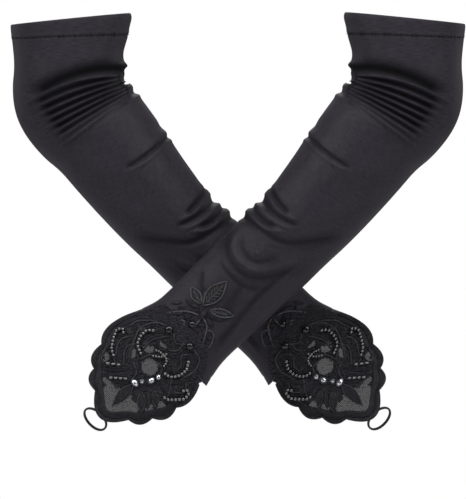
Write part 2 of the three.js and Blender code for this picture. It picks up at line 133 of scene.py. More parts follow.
def sleeve_point(distance, angle, lift):
    """A point over the satin. The rim's slant fades out where the cloth of the elbow starts."""
    distance, angle = np.broadcast_arrays(np.asarray(distance, float), np.asarray(angle, float))
    half_width, shift, half_depth = girth(distance)
    cosine, sine = np.cos(angle), np.sin(angle)
    across = shift + half_width * cosine
    fade = np.maximum(0, 1 - distance / ELBOW_FOLD_START)
    centre, _, outward = arm_frame(distance + RIM_SLANT * fade * across)
    normal = outward * (cosine / half_width)[..., None] + Y_AXIS * (sine / half_depth)[..., None]
    normal /= np.linalg.norm(normal, axis=-1, keepdims=True)
    surface = centre + outward * across[..., None] + Y_AXIS * (half_depth * sine)[..., None]
    return surface + normal * np.broadcast_to(lift, distance.shape)[..., None]


def back_point(offset, past, lift):
    """A point over the back of the hand."""
    offset, past = np.broadcast_arrays(np.asarray(offset, float), np.asarray(past, float))
    half_width, shift, _ = girth(WRIST + past)
    angle = -np.arccos(np.clip((offset - shift) / half_width, -1, 1))
    return sleeve_point(WRIST + past, angle, lift)


def smoothstep(low, high, value):
    t = np.clip((value - low) / (high - low), 0, 1)
    return t * t * (3 - 2 * t)


def swell(value, at, half_width):
    """1 at a place, and less the further from it."""
    return np.exp(-(((value - at) / half_width) ** 2))


def full_circle(count):
    return np.linspace(0, math.tau, count, endpoint=False)


def run_along(points):
    """The distance along a line of points, at each of them."""
    return np.concatenate([[0], np.cumsum(np.linalg.norm(np.diff(points, axis=0), axis=1))])


def unit(vectors):
    return vectors / (np.linalg.norm(vectors, axis=-1, keepdims=True) + 1e-12)


def across_path(path):
    """The way across a flat path, at each of its points."""
    ahead = unit(np.gradient(path, axis=0))
    return np.stack([-ahead[:, 1], ahead[:, 0]], -1)


# ---- from a glove's own plane to the pair ----
SIDES = ("left", "right")


def to_pair(points, side):
    """Metres in the frame, for a glove's own points in millimetres."""
    placed = np.array(points, float)
    placed[..., 0] += -CROSSING_X
    placed[..., 1] -= LAYER
    if side == "right":
        placed[..., 0] *= -1
        placed[..., 1] += 2 * LAYER
    return placed * MM


def add_piece(name, side, shape, material, normals=None, period=None):
    """A mesh object from a shape: points, faces, and the UV of each point, in metres.

    A cloth that closes on itself across U gives its period, so that its last faces don't run back to 0.
    """
    points, faces, uvs = shape
    placed = to_pair(points, side)
    order = [tuple(reversed(face)) for face in faces] if side == "right" else faces
    mesh = bpy.data.meshes.new(f"{side}_{name}")
    mesh.from_pydata(placed.tolist(), [], [tuple(int(i) for i in face) for face in order])
    layer = mesh.uv_layers.new(name="UVMap")
    corners = np.zeros(len(mesh.loops), dtype=np.int32)
    mesh.loops.foreach_get("vertex_index", corners)
    corner_uvs = np.asarray(uvs, np.float32)[corners]
    if period:
        across = corner_uvs[:, 0].reshape(-1, 4)
        across += period * (across.max(1, keepdims=True) - across > period / 2)
    layer.data.foreach_set("uv", corner_uvs.ravel())
    mesh.polygons.foreach_set("use_smooth", np.ones(len(mesh.polygons), dtype=bool))
    mesh.materials.append(material)
    if normals is not None:
        facing = normals * np.array([-1.0 if side == "right" else 1.0, 1.0, 1.0])
        mesh.normals_split_custom_set_from_vertices(facing.tolist())
    piece = bpy.data.objects.new(f"{side}_{name}", mesh)
    bpy.context.scene.collection.objects.link(piece)
    return piece


def add_attribute(piece, name, values):
    """A value at each point of a piece, which its material reads."""
    attribute = piece.data.attributes.new(name, "FLOAT", "POINT")
    attribute.data.foreach_set("value", values.ravel().astype(np.float32))


def grid(points, uvs, wrapped=False):
    """A sheet from rows and columns of points. A wrapped one joins its last column to its first."""
    rows, columns = points.shape[:2]
    count = columns if wrapped else columns - 1
    r, c = np.meshgrid(np.arange(rows - 1), np.arange(count), indexing="ij")
    here, after = r * columns + c, r * columns + (c + 1) % columns
    faces = np.stack([here, here + columns, after + columns, after], -1)
    return points.reshape(-1, 3), faces.reshape(-1, 4).tolist(), uvs.reshape(-1, 2)


def capped(shape, sides):
    """A wrapped sheet, closed at both ends."""
    points, faces, uvs = shape
    first, last = list(range(sides)), list(range(len(points) - sides, len(points)))
    return points, faces + [first, last[::-1]], uvs


def merged(shapes):
    """Several shapes as one."""
    points, faces, uvs, start = [], [], [], 0
    for shape_points, shape_faces, shape_uvs in shapes:
        points.append(shape_points)
        uvs.append(shape_uvs)
        faces.extend([[i + start for i in face] for face in shape_faces])
        start += len(shape_points)
    return np.concatenate(points), faces, np.concatenate(uvs)


def smooth_path(places, count):
    """A Catmull-Rom curve through the places, as evenly spaced points, and its length."""
    p = np.asarray(places, float)
    p = np.vstack([2 * p[0] - p[1], p, 2 * p[-1] - p[-2]])
    t = np.linspace(0, 1, 12, endpoint=False)[:, None]
    pieces = []
    for a, b, c, d in zip(p[:-3], p[1:-2], p[2:-1], p[3:]):
        squared, cubed = 2 * a - 5 * b + 4 * c - d, 3 * b - a - 3 * c + d
        pieces.append(0.5 * (2 * b + (c - a) * t + squared * t**2 + cubed * t**3))
    fine = np.vstack(pieces + [p[-2:-1]])
    run = run_along(fine)
    at = np.linspace(0, run[-1], count)
    return np.stack([np.interp(at, run, column) for column in fine.T], -1), run[-1]


# ---- camera, light and floor, in metres ----
VIEW_MIDDLE = (-0.0034, -0.1729)
VIEW_HEIGHT = 0.3748
VIEW_DISTANCE = 16.0
SENSOR_WIDTH = 36
LIT_PLACE = Vector((0, 0, -0.17))
FLOOR_RADIUS = 0.8
FLOOR_LEVEL = -0.43


def make_camera():
    camera = bpy.data.objects.new("camera", bpy.data.cameras.new("camera"))
    camera.data.sensor_width = SENSOR_WIDTH
    camera.data.lens = SENSOR_WIDTH * VIEW_DISTANCE / VIEW_HEIGHT
    camera.data.clip_end = 100
    camera.location = (VIEW_MIDDLE[0], -VIEW_DISTANCE - LAYER * MM, VIEW_MIDDLE[1])
    camera.rotation_euler = (math.pi / 2, 0, 0)
    bpy.context.scene.collection.objects.link(camera)
    bpy.context.scene.camera = camera


def add_light(name, place, size, power):
    light = bpy.data.lights.new(name, "AREA")
    light.shape = "RECTANGLE"
    light.size, light.size_y = size
    light.energy = power
    lamp = bpy.data.objects.new(name, light)
    lamp.location = place
    lamp.visible_camera = False
    lamp.rotation_euler = (LIT_PLACE - Vector(place)).to_track_quat("-Z", "Y").to_euler()
    bpy.context.scene.collection.objects.link(lamp)


def make_lights():
    add_light("softbox_top", (0, -0.6, 0.5), (1.1, 0.45), 10)
    for side in (-1, 1):
        add_light(f"softbox_side_{side}", (side * 1.15, -0.7, 0.55), (0.7, 0.9), 11)
        add_light(f"softbox_rim_{side}", (side * 0.9, 0.6, 0.1), (0.4, 0.8), 1.3)
    add_light("softbox_back", (0, 2.0, 1.2), (1.6, 1.2), 14)


def make_world():
    """A white studio, lighter above than below, and dimmer as a light on the gloves than to the camera."""
    world = bpy.data.worlds.new("studio")
    bpy.context.scene.world = world
    world.use_nodes = True
    tree = world.node_tree
    direction = add_node(tree, "ShaderNodeTexCoord", "Generated", {})
    height = add_node(tree, "ShaderNodeSeparateXYZ", "Z", {"Vector": direction})
    lighting = add_range(tree, height, 0.03, 0.36, start=-1.0)
    seen = add_node(tree, "ShaderNodeLightPath", "Is Camera Ray", {})
    strength = add_range(tree, seen, lighting, 1.0)
    feed(tree, tree.nodes["Background"].inputs, {"Color": (1, 1, 1, 1), "Strength": strength})
    bpy.context.scene.view_settings.view_transform = "Standard"


def make_floor():
    mesh = bpy.data.meshes.new("floor")
    corners = [(FLOOR_RADIUS * math.cos(a), FLOOR_RADIUS * math.sin(a), FLOOR_LEVEL) for a in full_circle(96)]
    mesh.from_pydata(corners, [], [tuple(range(len(corners)))])
    floor = bpy.data.objects.new("floor", mesh)
    bpy.context.scene.collection.objects.link(floor)
    material, tree, shader = new_material("pale_floor")
    feed(tree, shader, {"Base Color": (0.82, 0.82, 0.83, 1), "Roughness": 0.7})
    mesh.materials.append(material)


# ---- materials ----
def new_material(name):
    """A material, its node tree and the sockets of its shader."""
    material = bpy.data.materials.new(name)
    material.use_nodes = True
    return material, material.node_tree, material.node_tree.nodes["Principled BSDF"].inputs


def feed(tree, sockets, values):
    """Sets sockets to numbers and colours, or links them to the outputs of other nodes."""
    for name, value in values.items():
        if isinstance(value, bpy.types.NodeSocket):
            tree.links.new(value, sockets[name])
        else:
            sockets[name].default_value = value


def add_node(tree, kind, output, values, **settings):
    """A node, by one of its outputs."""
    node = tree.nodes.new(kind)
    for setting, value in settings.items():
        setattr(node, setting, value)
    feed(tree, node.inputs, values)
    return node.outputs[output]


def uv_scaled(tree, scale):
    """UV coordinates, which are in metres on every piece, times a scale."""
    uv = add_node(tree, "ShaderNodeUVMap", "UV", {}, uv_map="UVMap")
    return add_node(tree, "ShaderNodeMapping", "Vector", {"Vector": uv, "Scale": scale})


def add_noise(tree, scale, detail):
    values = {"Vector": uv_scaled(tree, scale), "Scale": 1.0, "Detail": detail}
    return add_node(tree, "ShaderNodeTexNoise", "Fac", values)


def add_bands(tree, scale, direction, distortion):
    """Rounded bands, one to a unit."""
    values = {
        "Vector": uv_scaled(tree, scale),
        "Scale": math.tau / 20,
        "Distortion": distortion,
        "Detail": 1.0,
    }
    return add_node(tree, "ShaderNodeTexWave", "Fac", values, wave_type="BANDS", bands_direction=direction)


def add_ramp(tree, value, low, high, colors):
    ramp = tree.nodes.new("ShaderNodeValToRGB")
    for element, position, color in zip(ramp.color_ramp.elements, (low, high), colors):
        element.position = position
        element.color = (*color, 1)
    tree.links.new(value, ramp.inputs["Fac"])
    return ramp.outputs["Color"]


def add_range(tree, value, low, high, start=0.0, end=1.0):
    """Maps start to end onto low to high."""
    values = {"Value": value, "From Min": start, "From Max": end, "To Min": low, "To Max": high}
    return add_node(tree, "ShaderNodeMapRange", "Result", values)


def add_math(tree, operation, a, b):
    return add_node(tree, "ShaderNodeMath", "Value", {0: a, 1: b}, operation=operation)


def add_bump(tree, height, strength, depth, **under):
    return add_node(
        tree, "ShaderNodeBump", "Normal", {"Height": height, "Strength": strength, "Distance": depth, **under}
    )


def satin():
    """Black stretch satin: fine rows of yarn across the arm, a soft sheen and an uneven depth of dye.

    The point attribute read here is 1 deep in a fold and along the hem's stitching. It is painted shade for
    where less light gets in: it mixes the colour towards near-black there, and raises the roughness so that
    the sheen is dimmer.
    """
    material, tree, shader = new_material("black_stretch_satin")
    blotches = add_noise(tree, (55, 45, 45), 4)
    streaks = add_noise(tree, (170, 1250, 1), 3)
    grain = add_noise(tree, (900, 2200, 1), 2)
    yarn = add_bands(tree, (900, 2200, 1), "DIAGONAL", 1.5)
    tone = add_math(tree, "MULTIPLY", add_range(tree, blotches, 0.72, 1.28), streaks)
    color = add_ramp(tree, tone, 0.3, 0.7, ((0.0098, 0.0084, 0.0118), (0.0205, 0.0176, 0.0242)))
    # Painted shade: the colour is mixed towards near-black in the folds and along the hem's stitching.
    painted_shade = add_node(tree, "ShaderNodeAttribute", "Fac", {}, attribute_name="painted_shade")
    shades = {"A": color, "B": (0.0008, 0.0007, 0.001, 1), "Factor": painted_shade}
    rows = add_bump(tree, yarn, 0.1, 0.0002)
    streaky = add_bump(tree, streaks, 0.12, 0.0003, Normal=rows)
    values = {
        "Base Color": add_node(tree, "ShaderNodeMix", "Result", shades, data_type="RGBA"),
        "Roughness": add_math(tree, "MAXIMUM", add_range(tree, streaks, 0.44, 0.64), painted_shade),
        "Specular IOR Level": 0.1,
        "Sheen Weight": 0.006,
        "Sheen Roughness": 0.45,
        "Sheen Tint": (0.8, 0.74, 0.95, 1),
        "Normal": add_bump(tree, grain, 0.12, 0.0002, Normal=streaky),
    }
    feed(tree, shader, values)
    return material


def thread_work(name, pitch, dark, light, roughness, specular):
    """Satin-stitch embroidery: threads laid side by side across the piece, with a painted highlight along
    each thread and painted shade between the threads in its colour.
    """
    material, tree, shader = new_material(name)
    threads = add_bands(tree, (1 / pitch, 0.25 / pitch, 1), "X", 0.8)
    fray = add_noise(tree, (0.8 / pitch, 0.2 / pitch, 1), 2)
    both = add_math(tree, "MULTIPLY", threads, fray)
    patches = add_range(tree, add_noise(tree, (380, 380, 1), 2), -0.35, 2.0)
    # The colour runs from dark to light across each thread: painted shade in the gaps and a painted highlight
    # on the thread, under uneven patches.
    values = {
        "Base Color": add_ramp(tree, add_math(tree, "MULTIPLY", both, patches), 0.05, 0.6, (dark, light)),
        "Roughness": add_range(tree, fray, roughness - 0.12, roughness + 0.12),
        "Specular IOR Level": specular,
        "Normal": add_bump(tree, both, 0.7, 0.0003),
    }
    feed(tree, shader, values)
    return material


def tulle():
    """Fine net of hexagonal holes, which the attribute 'cover' fills in with stitching."""
    material, tree, shader = new_material("sheer_black_tulle")
    cells = {"Vector": uv_scaled(tree, (1000, 1000, 1)), "Scale": 1.0, "Randomness": 0.35}
    from_thread = add_node(tree, "ShaderNodeTexVoronoi", "Distance", cells, feature="DISTANCE_TO_EDGE")
    holes = add_range(tree, from_thread, 1.0, 0.84, start=0.13, end=0.24)
    cover = add_node(tree, "ShaderNodeAttribute", "Fac", {}, attribute_name="cover")
    filling = add_range(tree, add_noise(tree, (260, 260, 1), 3), 0.98, 1.2)
    patches = add_noise(tree, (420, 420, 1), 2)
    stitches = add_bands(tree, (1100, 1100, 1), "DIAGONAL", 9.0)
    tone = add_math(tree, "MULTIPLY", patches, add_range(tree, stitches, 0.35, 1.0))
    values = {
        "Alpha": add_math(tree, "MAXIMUM", holes, add_math(tree, "MULTIPLY", cover, filling)),
        "Base Color": add_ramp(tree, tone, 0.12, 0.55, ((0.0006, 0.0005, 0.0008), (0.0165, 0.0148, 0.0195))),
        "Roughness": 0.5,
        "Specular IOR Level": 0.12,
        "Normal": add_bump(tree, stitches, 0.9, 0.0004),
    }
    feed(tree, shader, values)
    return material


def glossy(name, color, roughness, metallic=0.0, coat=1.0, specular=0.5):
    """Moulded and polished: tiny differences in polish, seen in the highlights."""
    material, tree, shader = new_material(name)
    tone = add_noise(tree, (300, 300, 300), 2)
    values = {
        "Base Color": add_ramp(tree, tone, 0.3, 0.7, (tuple(0.8 * c for c in color), color)),
        "Roughness": add_range(tree, tone, roughness * 0.7, roughness * 1.3),
        "Metallic": metallic,
        "Coat Weight": coat,
        "Coat Roughness": 0.04,
        "Coat IOR": 1.7,
        "Specular IOR Level": specular,
    }
    feed(tree, shader, values)
    return material


def elastic():
    """Covered elastic: ribs of yarn wound round a rubber core."""
    material, tree, shader = new_material("covered_elastic")
    ribs = add_bands(tree, (1400, 500, 1), "DIAGONAL", 0.5)
    values = {
        "Base Color": add_ramp(tree, ribs, 0.1, 0.9, ((0.006, 0.006, 0.007), (0.022, 0.021, 0.024))),
        "Roughness": 0.72,
        "Specular IOR Level": 0.2,
        "Normal": add_bump(tree, ribs, 0.7, 0.0003),
    }
    feed(tree, shader, values)
    return material


make_camera()
make_lights()
make_world()
make_floor()

SATIN = satin()
TULLE = tulle()
# Each thread's colour pair runs from painted shade to painted highlight; the scrolls' and outlines' lighter
# pairs are painted highlights on their raised cords.
STITCHING = thread_work("satin_stitch", 0.00055, (0.0012, 0.0011, 0.0015), (0.022, 0.02, 0.027), 0.4, 0.12)
SCROLL = thread_work("corded_scroll", 0.0008, (0.002, 0.0018, 0.0025), (0.036, 0.033, 0.043), 0.38, 0.2)
OUTLINE = thread_work("corded_outline", 0.0008, (0.004, 0.004, 0.0046), (0.06, 0.061, 0.069), 0.34, 0.35)
SEWING_THREAD = thread_work("sewing_thread", 0.0004, (0.004, 0.004, 0.004), (0.02, 0.02, 0.022), 0.5, 0.15)
ELASTIC = elastic()
BEAD = glossy("polished_black_bead", (0.004, 0.004, 0.0045), 0.2, coat=0.8, specular=0.8)
GEM = glossy("black_cut_gem", (0.003, 0.003, 0.0035), 0.07, coat=0.05, specular=0.3)
STONE = glossy("clear_cut_stone", (0.4, 0.42, 0.46), 0.1, metallic=0.8, coat=1.0)
CUP = glossy("dark_metal_cup", (0.12, 0.12, 0.13), 0.25, metallic=1.0, coat=0.0)


# ---- folds of the satin ----
# A fold is a line in x and z from the middle of the rim, with its height (below 0 for a valley), its half
# width and whether it fades in. A broad valley and then thin ridges fan out from the crook of the elbow,
# with a deep valley under each ridge.
TOP_VALLEY = ((-44, -36.5), (33, -60))
TOP_VALLEY_BOW = 7.5
RIDGE_COUNT = 8
FIRST_RIDGE = ((-37, -42.5), (35, -64.5))
LAST_RIDGE = ((-44, -58.5), (11, -98))
RIDGE_BOW = 6.0
BOW_KEPT = 0.55  # of the bow, from each ridge to the next
FOLD_LIMIT = 4.2
# Creases start at the inside of the arm and fade at their last end. Their places are (offset, distance past
# the wrist).
CREASES = [
    ([(-37, -163), (-15, -164), (6, -168)], -1.3, 1.6),
    ([(-37, -159), (-15, -160), (4, -164)], 0.6, 1.5),
    ([(-30, -116), (-18, -112), (-4, -111)], -1.4, 1.9),
    ([(-29, -110), (-12, -108), (4, -112)], 0.9, 1.7),
    ([(-28, -104), (-10, -104), (8, -110)], -1.3, 1.8),
    ([(-29, -100), (-12, -99), (6, -104)], 0.8, 1.7),
    ([(-30, -96), (-16, -94), (-4, -98)], -1.4, 1.9),
    ([(-28, -90), (-10, -91), (4, -101)], 1.0, 1.7),
    ([(-28, -86), (-5, -89), (10, -95), (24, -112), (36, -132)], -1.3, 2.8),
]
# Drapes fade at both ends.
DRAPES = [
    ([(-29, -86), (-25, -63), (-10, -54), (8, -57), (22, -74), (32, -98)], -1.2, 2.6),
    ([(-26, -86), (-21, -67), (-8, -60), (8, -64), (20, -83), (30, -106)], 1.0, 2.2),
    ([(-20, -78), (-14, -68), (-3, -66), (6, -71), (13, -86)], -0.9, 2.3),
    ([(-4, -84), (0, -78), (-3, -71)], 0.6, 1.8),
    ([(-24, -52), (-8, -47), (12, -50), (22, -62)], -1.0, 2.2),
    ([(29, -104), (26, -70), (25, -45), (28, -15), (31, 14)], 1.0, 1.5),
    ([(25, -84), (22, -52), (24, -20), (26, 6)], -1.1, 2.0),
    ([(34, -58), (34, -30), (36, -6)], 0.5, 1.4),
    ([(-27, -62), (-27, -36), (-26, -12)], 0.8, 1.5),
    ([(-24, -36), (-16, -27), (-7, -21)], -1.1, 2.2),
    ([(10, -58), (9, -40), (15, -18)], -0.8, 3.0),
]


def bowed(start, end, bow):
    """A line that bows up between its ends."""
    share = np.linspace(0, 1, 6)[:, None]
    way = np.subtract(end, start)
    upward = np.array([-way[1], way[0]]) / np.linalg.norm(way)
    return start + way * share + upward * bow * 4 * share * (1 - share)


def fan_line(share, bow):
    """A line of the fan: at 0 the first ridge, at 1 the last."""
    start, end = (np.array(a) * (1 - share) + np.array(b) * share for a, b in zip(FIRST_RIDGE, LAST_RIDGE))
    return bowed(start, end, bow)


def elbow_fan():
    folds = [(bowed(*TOP_VALLEY, TOP_VALLEY_BOW), -2.6, 4.0, False)]
    for k in range(RIDGE_COUNT):
        share, below = k / (RIDGE_COUNT - 1), (k + 0.5) / (RIDGE_COUNT - 1)
        strength = 1 - 0.65 * float(smoothstep(0.6, 1, share))
        folds.append((fan_line(share, RIDGE_BOW * BOW_KEPT**k), 1.6 * strength, 0.85, False))
        folds.append((fan_line(below, RIDGE_BOW * BOW_KEPT ** (k + 0.5)), -2.0 * strength, 2.1, False))
    return folds


def on_forearm(places):
    """Offsets and distances past the wrist, as x and z from the middle of the rim."""
    points = []
    for offset, past in places:
        centre, _, outward = arm_frame(WRIST + past)
        points.append((centre + outward * offset)[[0, 2]])
    return np.array(points)


FOLDS = elbow_fan()
FOLDS += [(on_forearm(places), height, half_width, False) for places, height, half_width in CREASES]
FOLDS += [(on_forearm(places), height, half_width, True) for places, height, half_width in DRAPES]
# Bulges and nips on the inside of the arm: distance down the arm, height, half width.
INSIDE_NIPS = [
    (2, 1.2, 4.0),
    (25, -3.2, 9.0),
    (34.5, 3.6, 2.7),
    (44, -2.8, 3.5),
    (62, -4.6, 10.0),
    (84, 1.7, 3.4),
    (89, -1.3, 2.4),
    (93.5, 0.9, 2.2),
    (121, -0.6, 3.0),
    (128, 0.7, 3.0),
    (152, -0.9, 18.0),
    (178.5, 1.3, 3.2),
    (189, -2.2, 4.2),
    (201, 1.3, 3.6),
]
OUTSIDE_BULGES = [(58, 1.2, 12.0), (137, 1.4, 26.0)]


def fold_height(x, z, line, height, half_width, fades_in):
    """The height of one fold at each place, from the nearest point of its line, and the painted light or
    shade that it puts in the colour.
    """
    path, _ = smooth_path(line, 18)
    starts, steps = path[:-1], np.diff(path, axis=0)
    places = np.stack([x.ravel(), z.ravel()], -1)
    nearest, share = np.full(len(places), 1e9), np.zeros(len(places))
    for k, (start, step) in enumerate(zip(starts, steps)):
        t = np.clip(((places - start) @ step) / (step @ step), 0, 1)
        gap = np.linalg.norm(places - start - t[:, None] * step, axis=1)
        nearer = gap < nearest
        nearest[nearer] = gap[nearer]
        share[nearer] = ((k + t) / len(steps))[nearer]
    fade = 1 - smoothstep(0.8, 1.0, share)
    if fades_in:
        fade = fade * smoothstep(0, 0.22, share)
    if height > 0:
        crest, spread = 1 / (1 + (nearest / half_width) ** 2) ** 1.5, 0.85
    else:
        crest, spread = swell(nearest, 0, half_width), 1.6 * half_width
    shade = np.sign(height) * fade * swell(nearest, 0, spread)
    return (height * fade * crest).reshape(x.shape), shade.reshape(x.shape)


def fold_relief(distance, angle):
    """The folds and nips of the satin, and the painted shade of their valleys, kept off the ridges."""
    points = sleeve_point(distance, angle, 0.0)
    x, y, z = points[..., 0], points[..., 1], points[..., 2]
    behind = np.maximum(0, y)
    x, z = x + 0.12 * behind, z + 0.1 * behind * np.sin(z / 11)
    # dark is the painted shade in the valleys, and light marks the thin ridges, which the painted shade is
    # kept off.
    folds, dark, light = np.zeros(x.shape), np.zeros(x.shape), np.zeros(x.shape)
    for fold in FOLDS:
        height = fold[1]
        rise, shade = fold_height(x, z, *fold)
        folds = folds + rise
        dark = np.maximum(dark, -shade * min(1.0, abs(height) / 2.0))
        light = np.maximum(light, shade * max(0.0, min(1.0, height)))
    inside = smoothstep(0.6, 1.0, -np.cos(angle))
    outside = smoothstep(0.3, 1.0, np.cos(angle))
    for part, bulges in ((inside, INSIDE_NIPS), (outside, OUTSIDE_BULGES)):
        for at, height, half_width in bulges:
            folds = folds + part * height * swell(distance, at, half_width)
    return FOLD_LIMIT * np.tanh(folds / FOLD_LIMIT), np.clip(dark * (1 - 0.85 * light), 0, 1)


def puckers(angle):
    round_arm = angle * RIM_RADIUS
    return np.sin(round_arm / 0.6 + 1.3 * np.sin(round_arm / 7.0)) + 0.6 * np.sin(round_arm / 1.7 + 1.0)


def hem_relief(distance, angle):
    """The doubled hem, its two lines of stitching, and the puckers that they draw in."""
    doubled = 0.3 * (1 - smoothstep(HEM_DEPTH - 0.4, HEM_DEPTH + 0.5, distance))
    grooves = -0.4 * swell(distance, HEM_DEPTH, 0.7) - 0.1 * swell(distance, 8.5, 0.8)
    drawn_in = 0.17 * puckers(angle) * swell(distance, HEM_DEPTH + 0.3, 2.6)
    return doubled + grooves + drawn_in - 0.6 * np.exp(-(distance + 1) / 0.7)


def hem_shade(distance, angle):
    """The painted shade along the hem's stitching and in the dips between its puckers."""
    dips = 0.55 * np.clip(-puckers(angle), 0, 1) * swell(distance, HEM_DEPTH + 0.2, 1.7)
    return np.clip(0.5 * swell(distance, HEM_DEPTH, 0.7) + dips, 0, 1)


def satin_relief(distance, angle):
    """How far the satin stands out of the smooth sleeve, and its painted shade."""
    waves = 0.3 * np.sin(distance / 19 + 1.7 * np.cos(angle)) * np.sin(2 * angle + distance / 37)
    waves = waves + 0.22 * np.sin(distance / 8.5 + 2.4 * np.sin(angle + 0.6)) * np.sin(3 * angle + 1.1)
    cuff_stitching = -0.35 * swell(distance, CUFF_END - 7, 0.7)
    from_seam = ((angle - SEAM_ANGLE + math.pi) % math.tau - math.pi) * SEAM_RADIUS
    seam = -0.45 * swell(from_seam, 0, 0.6) + 0.08 * np.sin(distance * 2.1) * swell(from_seam, 0, 2.5)
    seam = seam * smoothstep(HEM_DEPTH, HEM_DEPTH + 2, distance)
    smooth_part = (waves + seam) * smoothstep(12, 28, distance)
    folds, painted_shade = fold_relief(distance, angle)
    relief = folds + hem_relief(distance, angle) + smooth_part + cuff_stitching
    return relief, np.maximum(painted_shade, hem_shade(distance, angle))


# The edges of the cloth, turned in at the rim and at the cuff's end: distance past each, and lift.
RIM_TURN = [
    (8, -2.2),
    (3, -2.15),
    (0.1, -2.0),
    (-0.6, -1.6),
    (-1.0, -1.1),
    (-1.05, -0.6),
    (-0.85, -0.2),
    (-0.4, 0),
]
CUFF_TURN = [(-0.3, 0), (0.1, -0.2), (0.2, -0.5), (0, -0.8), (-1, -0.95), (-4, -1.0), (-7.5, -1.0)]
SATIN_COLUMNS = 216


def sleeve_rows():
    """Each row of the cloth, from inside the rim to inside the cuff: its distance and its lift."""
    body = np.concatenate(
        [
            np.arange(0.2, 24, 0.7),
            np.arange(24, 108, 0.55),
            np.arange(108, SPLIT - 0.4, 0.85),
            [SPLIT],
            np.arange(SPLIT + 0.85, CUFF_END - 0.7, 0.85),
        ]
    )
    rows = RIM_TURN + [(d, 0.0) for d in body] + [(CUFF_END + d, lift) for d, lift in CUFF_TURN]
    return np.array(rows), len(RIM_TURN) + int(np.where(body == SPLIT)[0][0])


def satin_cloth():
    """The whole glove's satin as rows of points, with its normals, painted shade and UVs."""
    rows, split = sleeve_rows()
    round_arm = SEAM_ANGLE + full_circle(SATIN_COLUMNS)
    distance, angle = np.broadcast_arrays(rows[:, 0][:, None], round_arm[None])
    relief, painted_shade = satin_relief(distance, angle)
    points = sleeve_point(distance, angle, relief + rows[:, 1][:, None])
    around = np.roll(points, -1, axis=1) - np.roll(points, 1, axis=1)
    normals = unit(np.cross(np.gradient(points, axis=0), around))
    run = np.cumsum(np.abs(np.diff(rows, axis=0, prepend=rows[:1])).sum(1))
    across = (round_arm - SEAM_ANGLE)[None] * GIRTH_RADIUS
    uvs = np.stack(np.broadcast_arrays(across * MM, run[:, None] * MM), -1)
    return points, normals, painted_shade, uvs, split


def centre_of(distance, side):
    return to_pair(arm_frame(distance)[0], side).tolist()


def bend_at_elbow(piece, side):
    ends = [centre_of(d, side) for d in (ELBOW_FOLD_START, ELBOW_FOLD_END)]
    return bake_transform(piece)


def bend_at_wrist(piece, side):
    ends = [centre_of(d, side) for d in WRIST_FOLD]
    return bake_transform(piece)


def stands_for(piece, side, slot, *nodes):
    if nodes:
        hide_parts(*[f"{side}_{node}" for node in nodes])
    return piece


def add_riding(side, pieces):
    """Pieces that move with one body: the name, shape, material, body, slot and CAD nodes of each."""
    for name, shape, material, body, slot, *nodes in pieces:
        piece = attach(add_piece(name, side, shape, material), f"{side}_{body}")
        stands_for(piece, side, slot, *nodes)


def add_satin(name, side, cloth, first, last):
    points, normals, painted_shade, uvs = (values[first:last] for values in cloth[:4])
    period = math.tau * GIRTH_RADIUS * MM
    shape = grid(points, uvs, wrapped=True)
    piece = add_piece(name, side, shape, SATIN, normals.reshape(-1, 3), period)
    # The painted shade of the folds and hem, at each point, by which the satin's material darkens its colour.
    add_attribute(piece, "painted_shade", painted_shade)
    return piece


def make_sleeves():
    cloth = satin_cloth()
    split = cloth[4]
    for side in SIDES:
        piece = bend_at_elbow(add_satin("satin_upper_arm", side, cloth, 0, split + 1), side)
        stands_for(piece, side, "satin", "upper_sleeve", "elbow_section", "forearm_sleeve")
        piece = bend_at_wrist(add_satin("satin_lower_arm", side, cloth, split, None), side)
        stands_for(piece, side, "satin", "wrist_section", "hand_cuff")


# ---- hem, facing, elastic and seam ----
BAND_COLUMNS = 176
RIM_GIRTH = 270.0
STITCH_PITCH = 3.0
STITCH_LENGTH = 2.2
STITCH_RADIUS = 0.26
STITCH_HEIGHTS = 0.18 + np.array([-0.5, 0.05, 0.12, 0.05, -0.5])
# Angle from the seam, and lift.
SEAM_SECTION = [(-0.07, -0.9), (-0.03, -1.25), (0.03, -1.25), (0.07, -0.9), (0.03, -1.9), (-0.03, -1.9)]


def inner_band(start, end, lift, thickness):
    """A closed band round the inside of the sleeve."""
    angle = full_circle(BAND_COLUMNS)
    outer, inner = [(start, 0), ((start + end) / 2, 0.12), (end, 0)], [(end, -thickness), (start, -thickness)]
    section = [*outer, *inner, outer[0]]
    rows = [sleeve_point(d, angle, lift + h + 0.06 * np.sin(angle * 60)) for d, h in section]
    along = np.cumsum(np.abs(np.diff(section, axis=0, prepend=section[:1])).sum(1))
    uvs = np.stack(np.meshgrid(angle * GIRTH_RADIUS * MM, along * MM), -1)
    return grid(np.array(rows), uvs, wrapped=True)


def hem_stitches():
    """One line of lockstitch round the hem, each stitch a short thread that dips in at both ends."""
    count = int(RIM_GIRTH / STITCH_PITCH)
    reach = STITCH_LENGTH / RIM_RADIUS / 2
    at = np.full(len(STITCH_HEIGHTS), HEM_DEPTH)
    shapes = []
    for k in range(count):
        angles = (k + 0.5) * math.tau / count + np.linspace(-reach, reach, len(at))
        thread = sleeve_point(at, angles, hem_relief(at, angles) + STITCH_HEIGHTS)
        shapes.append(tube(thread, STITCH_RADIUS, 5))
    return merged(shapes)


def tube(points, radius, sides, up=(0.0, -1.0, 0.03)):
    """A round tube along points, closed at both ends. Up is any direction that it doesn't follow."""
    ahead = unit(np.gradient(points, axis=0))
    sideways = unit(np.cross(ahead, np.broadcast_to(up, points.shape)))
    upwards = np.cross(sideways, ahead)
    angles = full_circle(sides)
    ring = sideways[:, None] * np.cos(angles)[:, None] + upwards[:, None] * np.sin(angles)[:, None]
    uvs = np.stack(np.meshgrid(run_along(points) * MM, angles * radius * MM, indexing="ij"), -1)
    return capped(grid(points[:, None] + ring * radius, uvs, wrapped=True), sides)


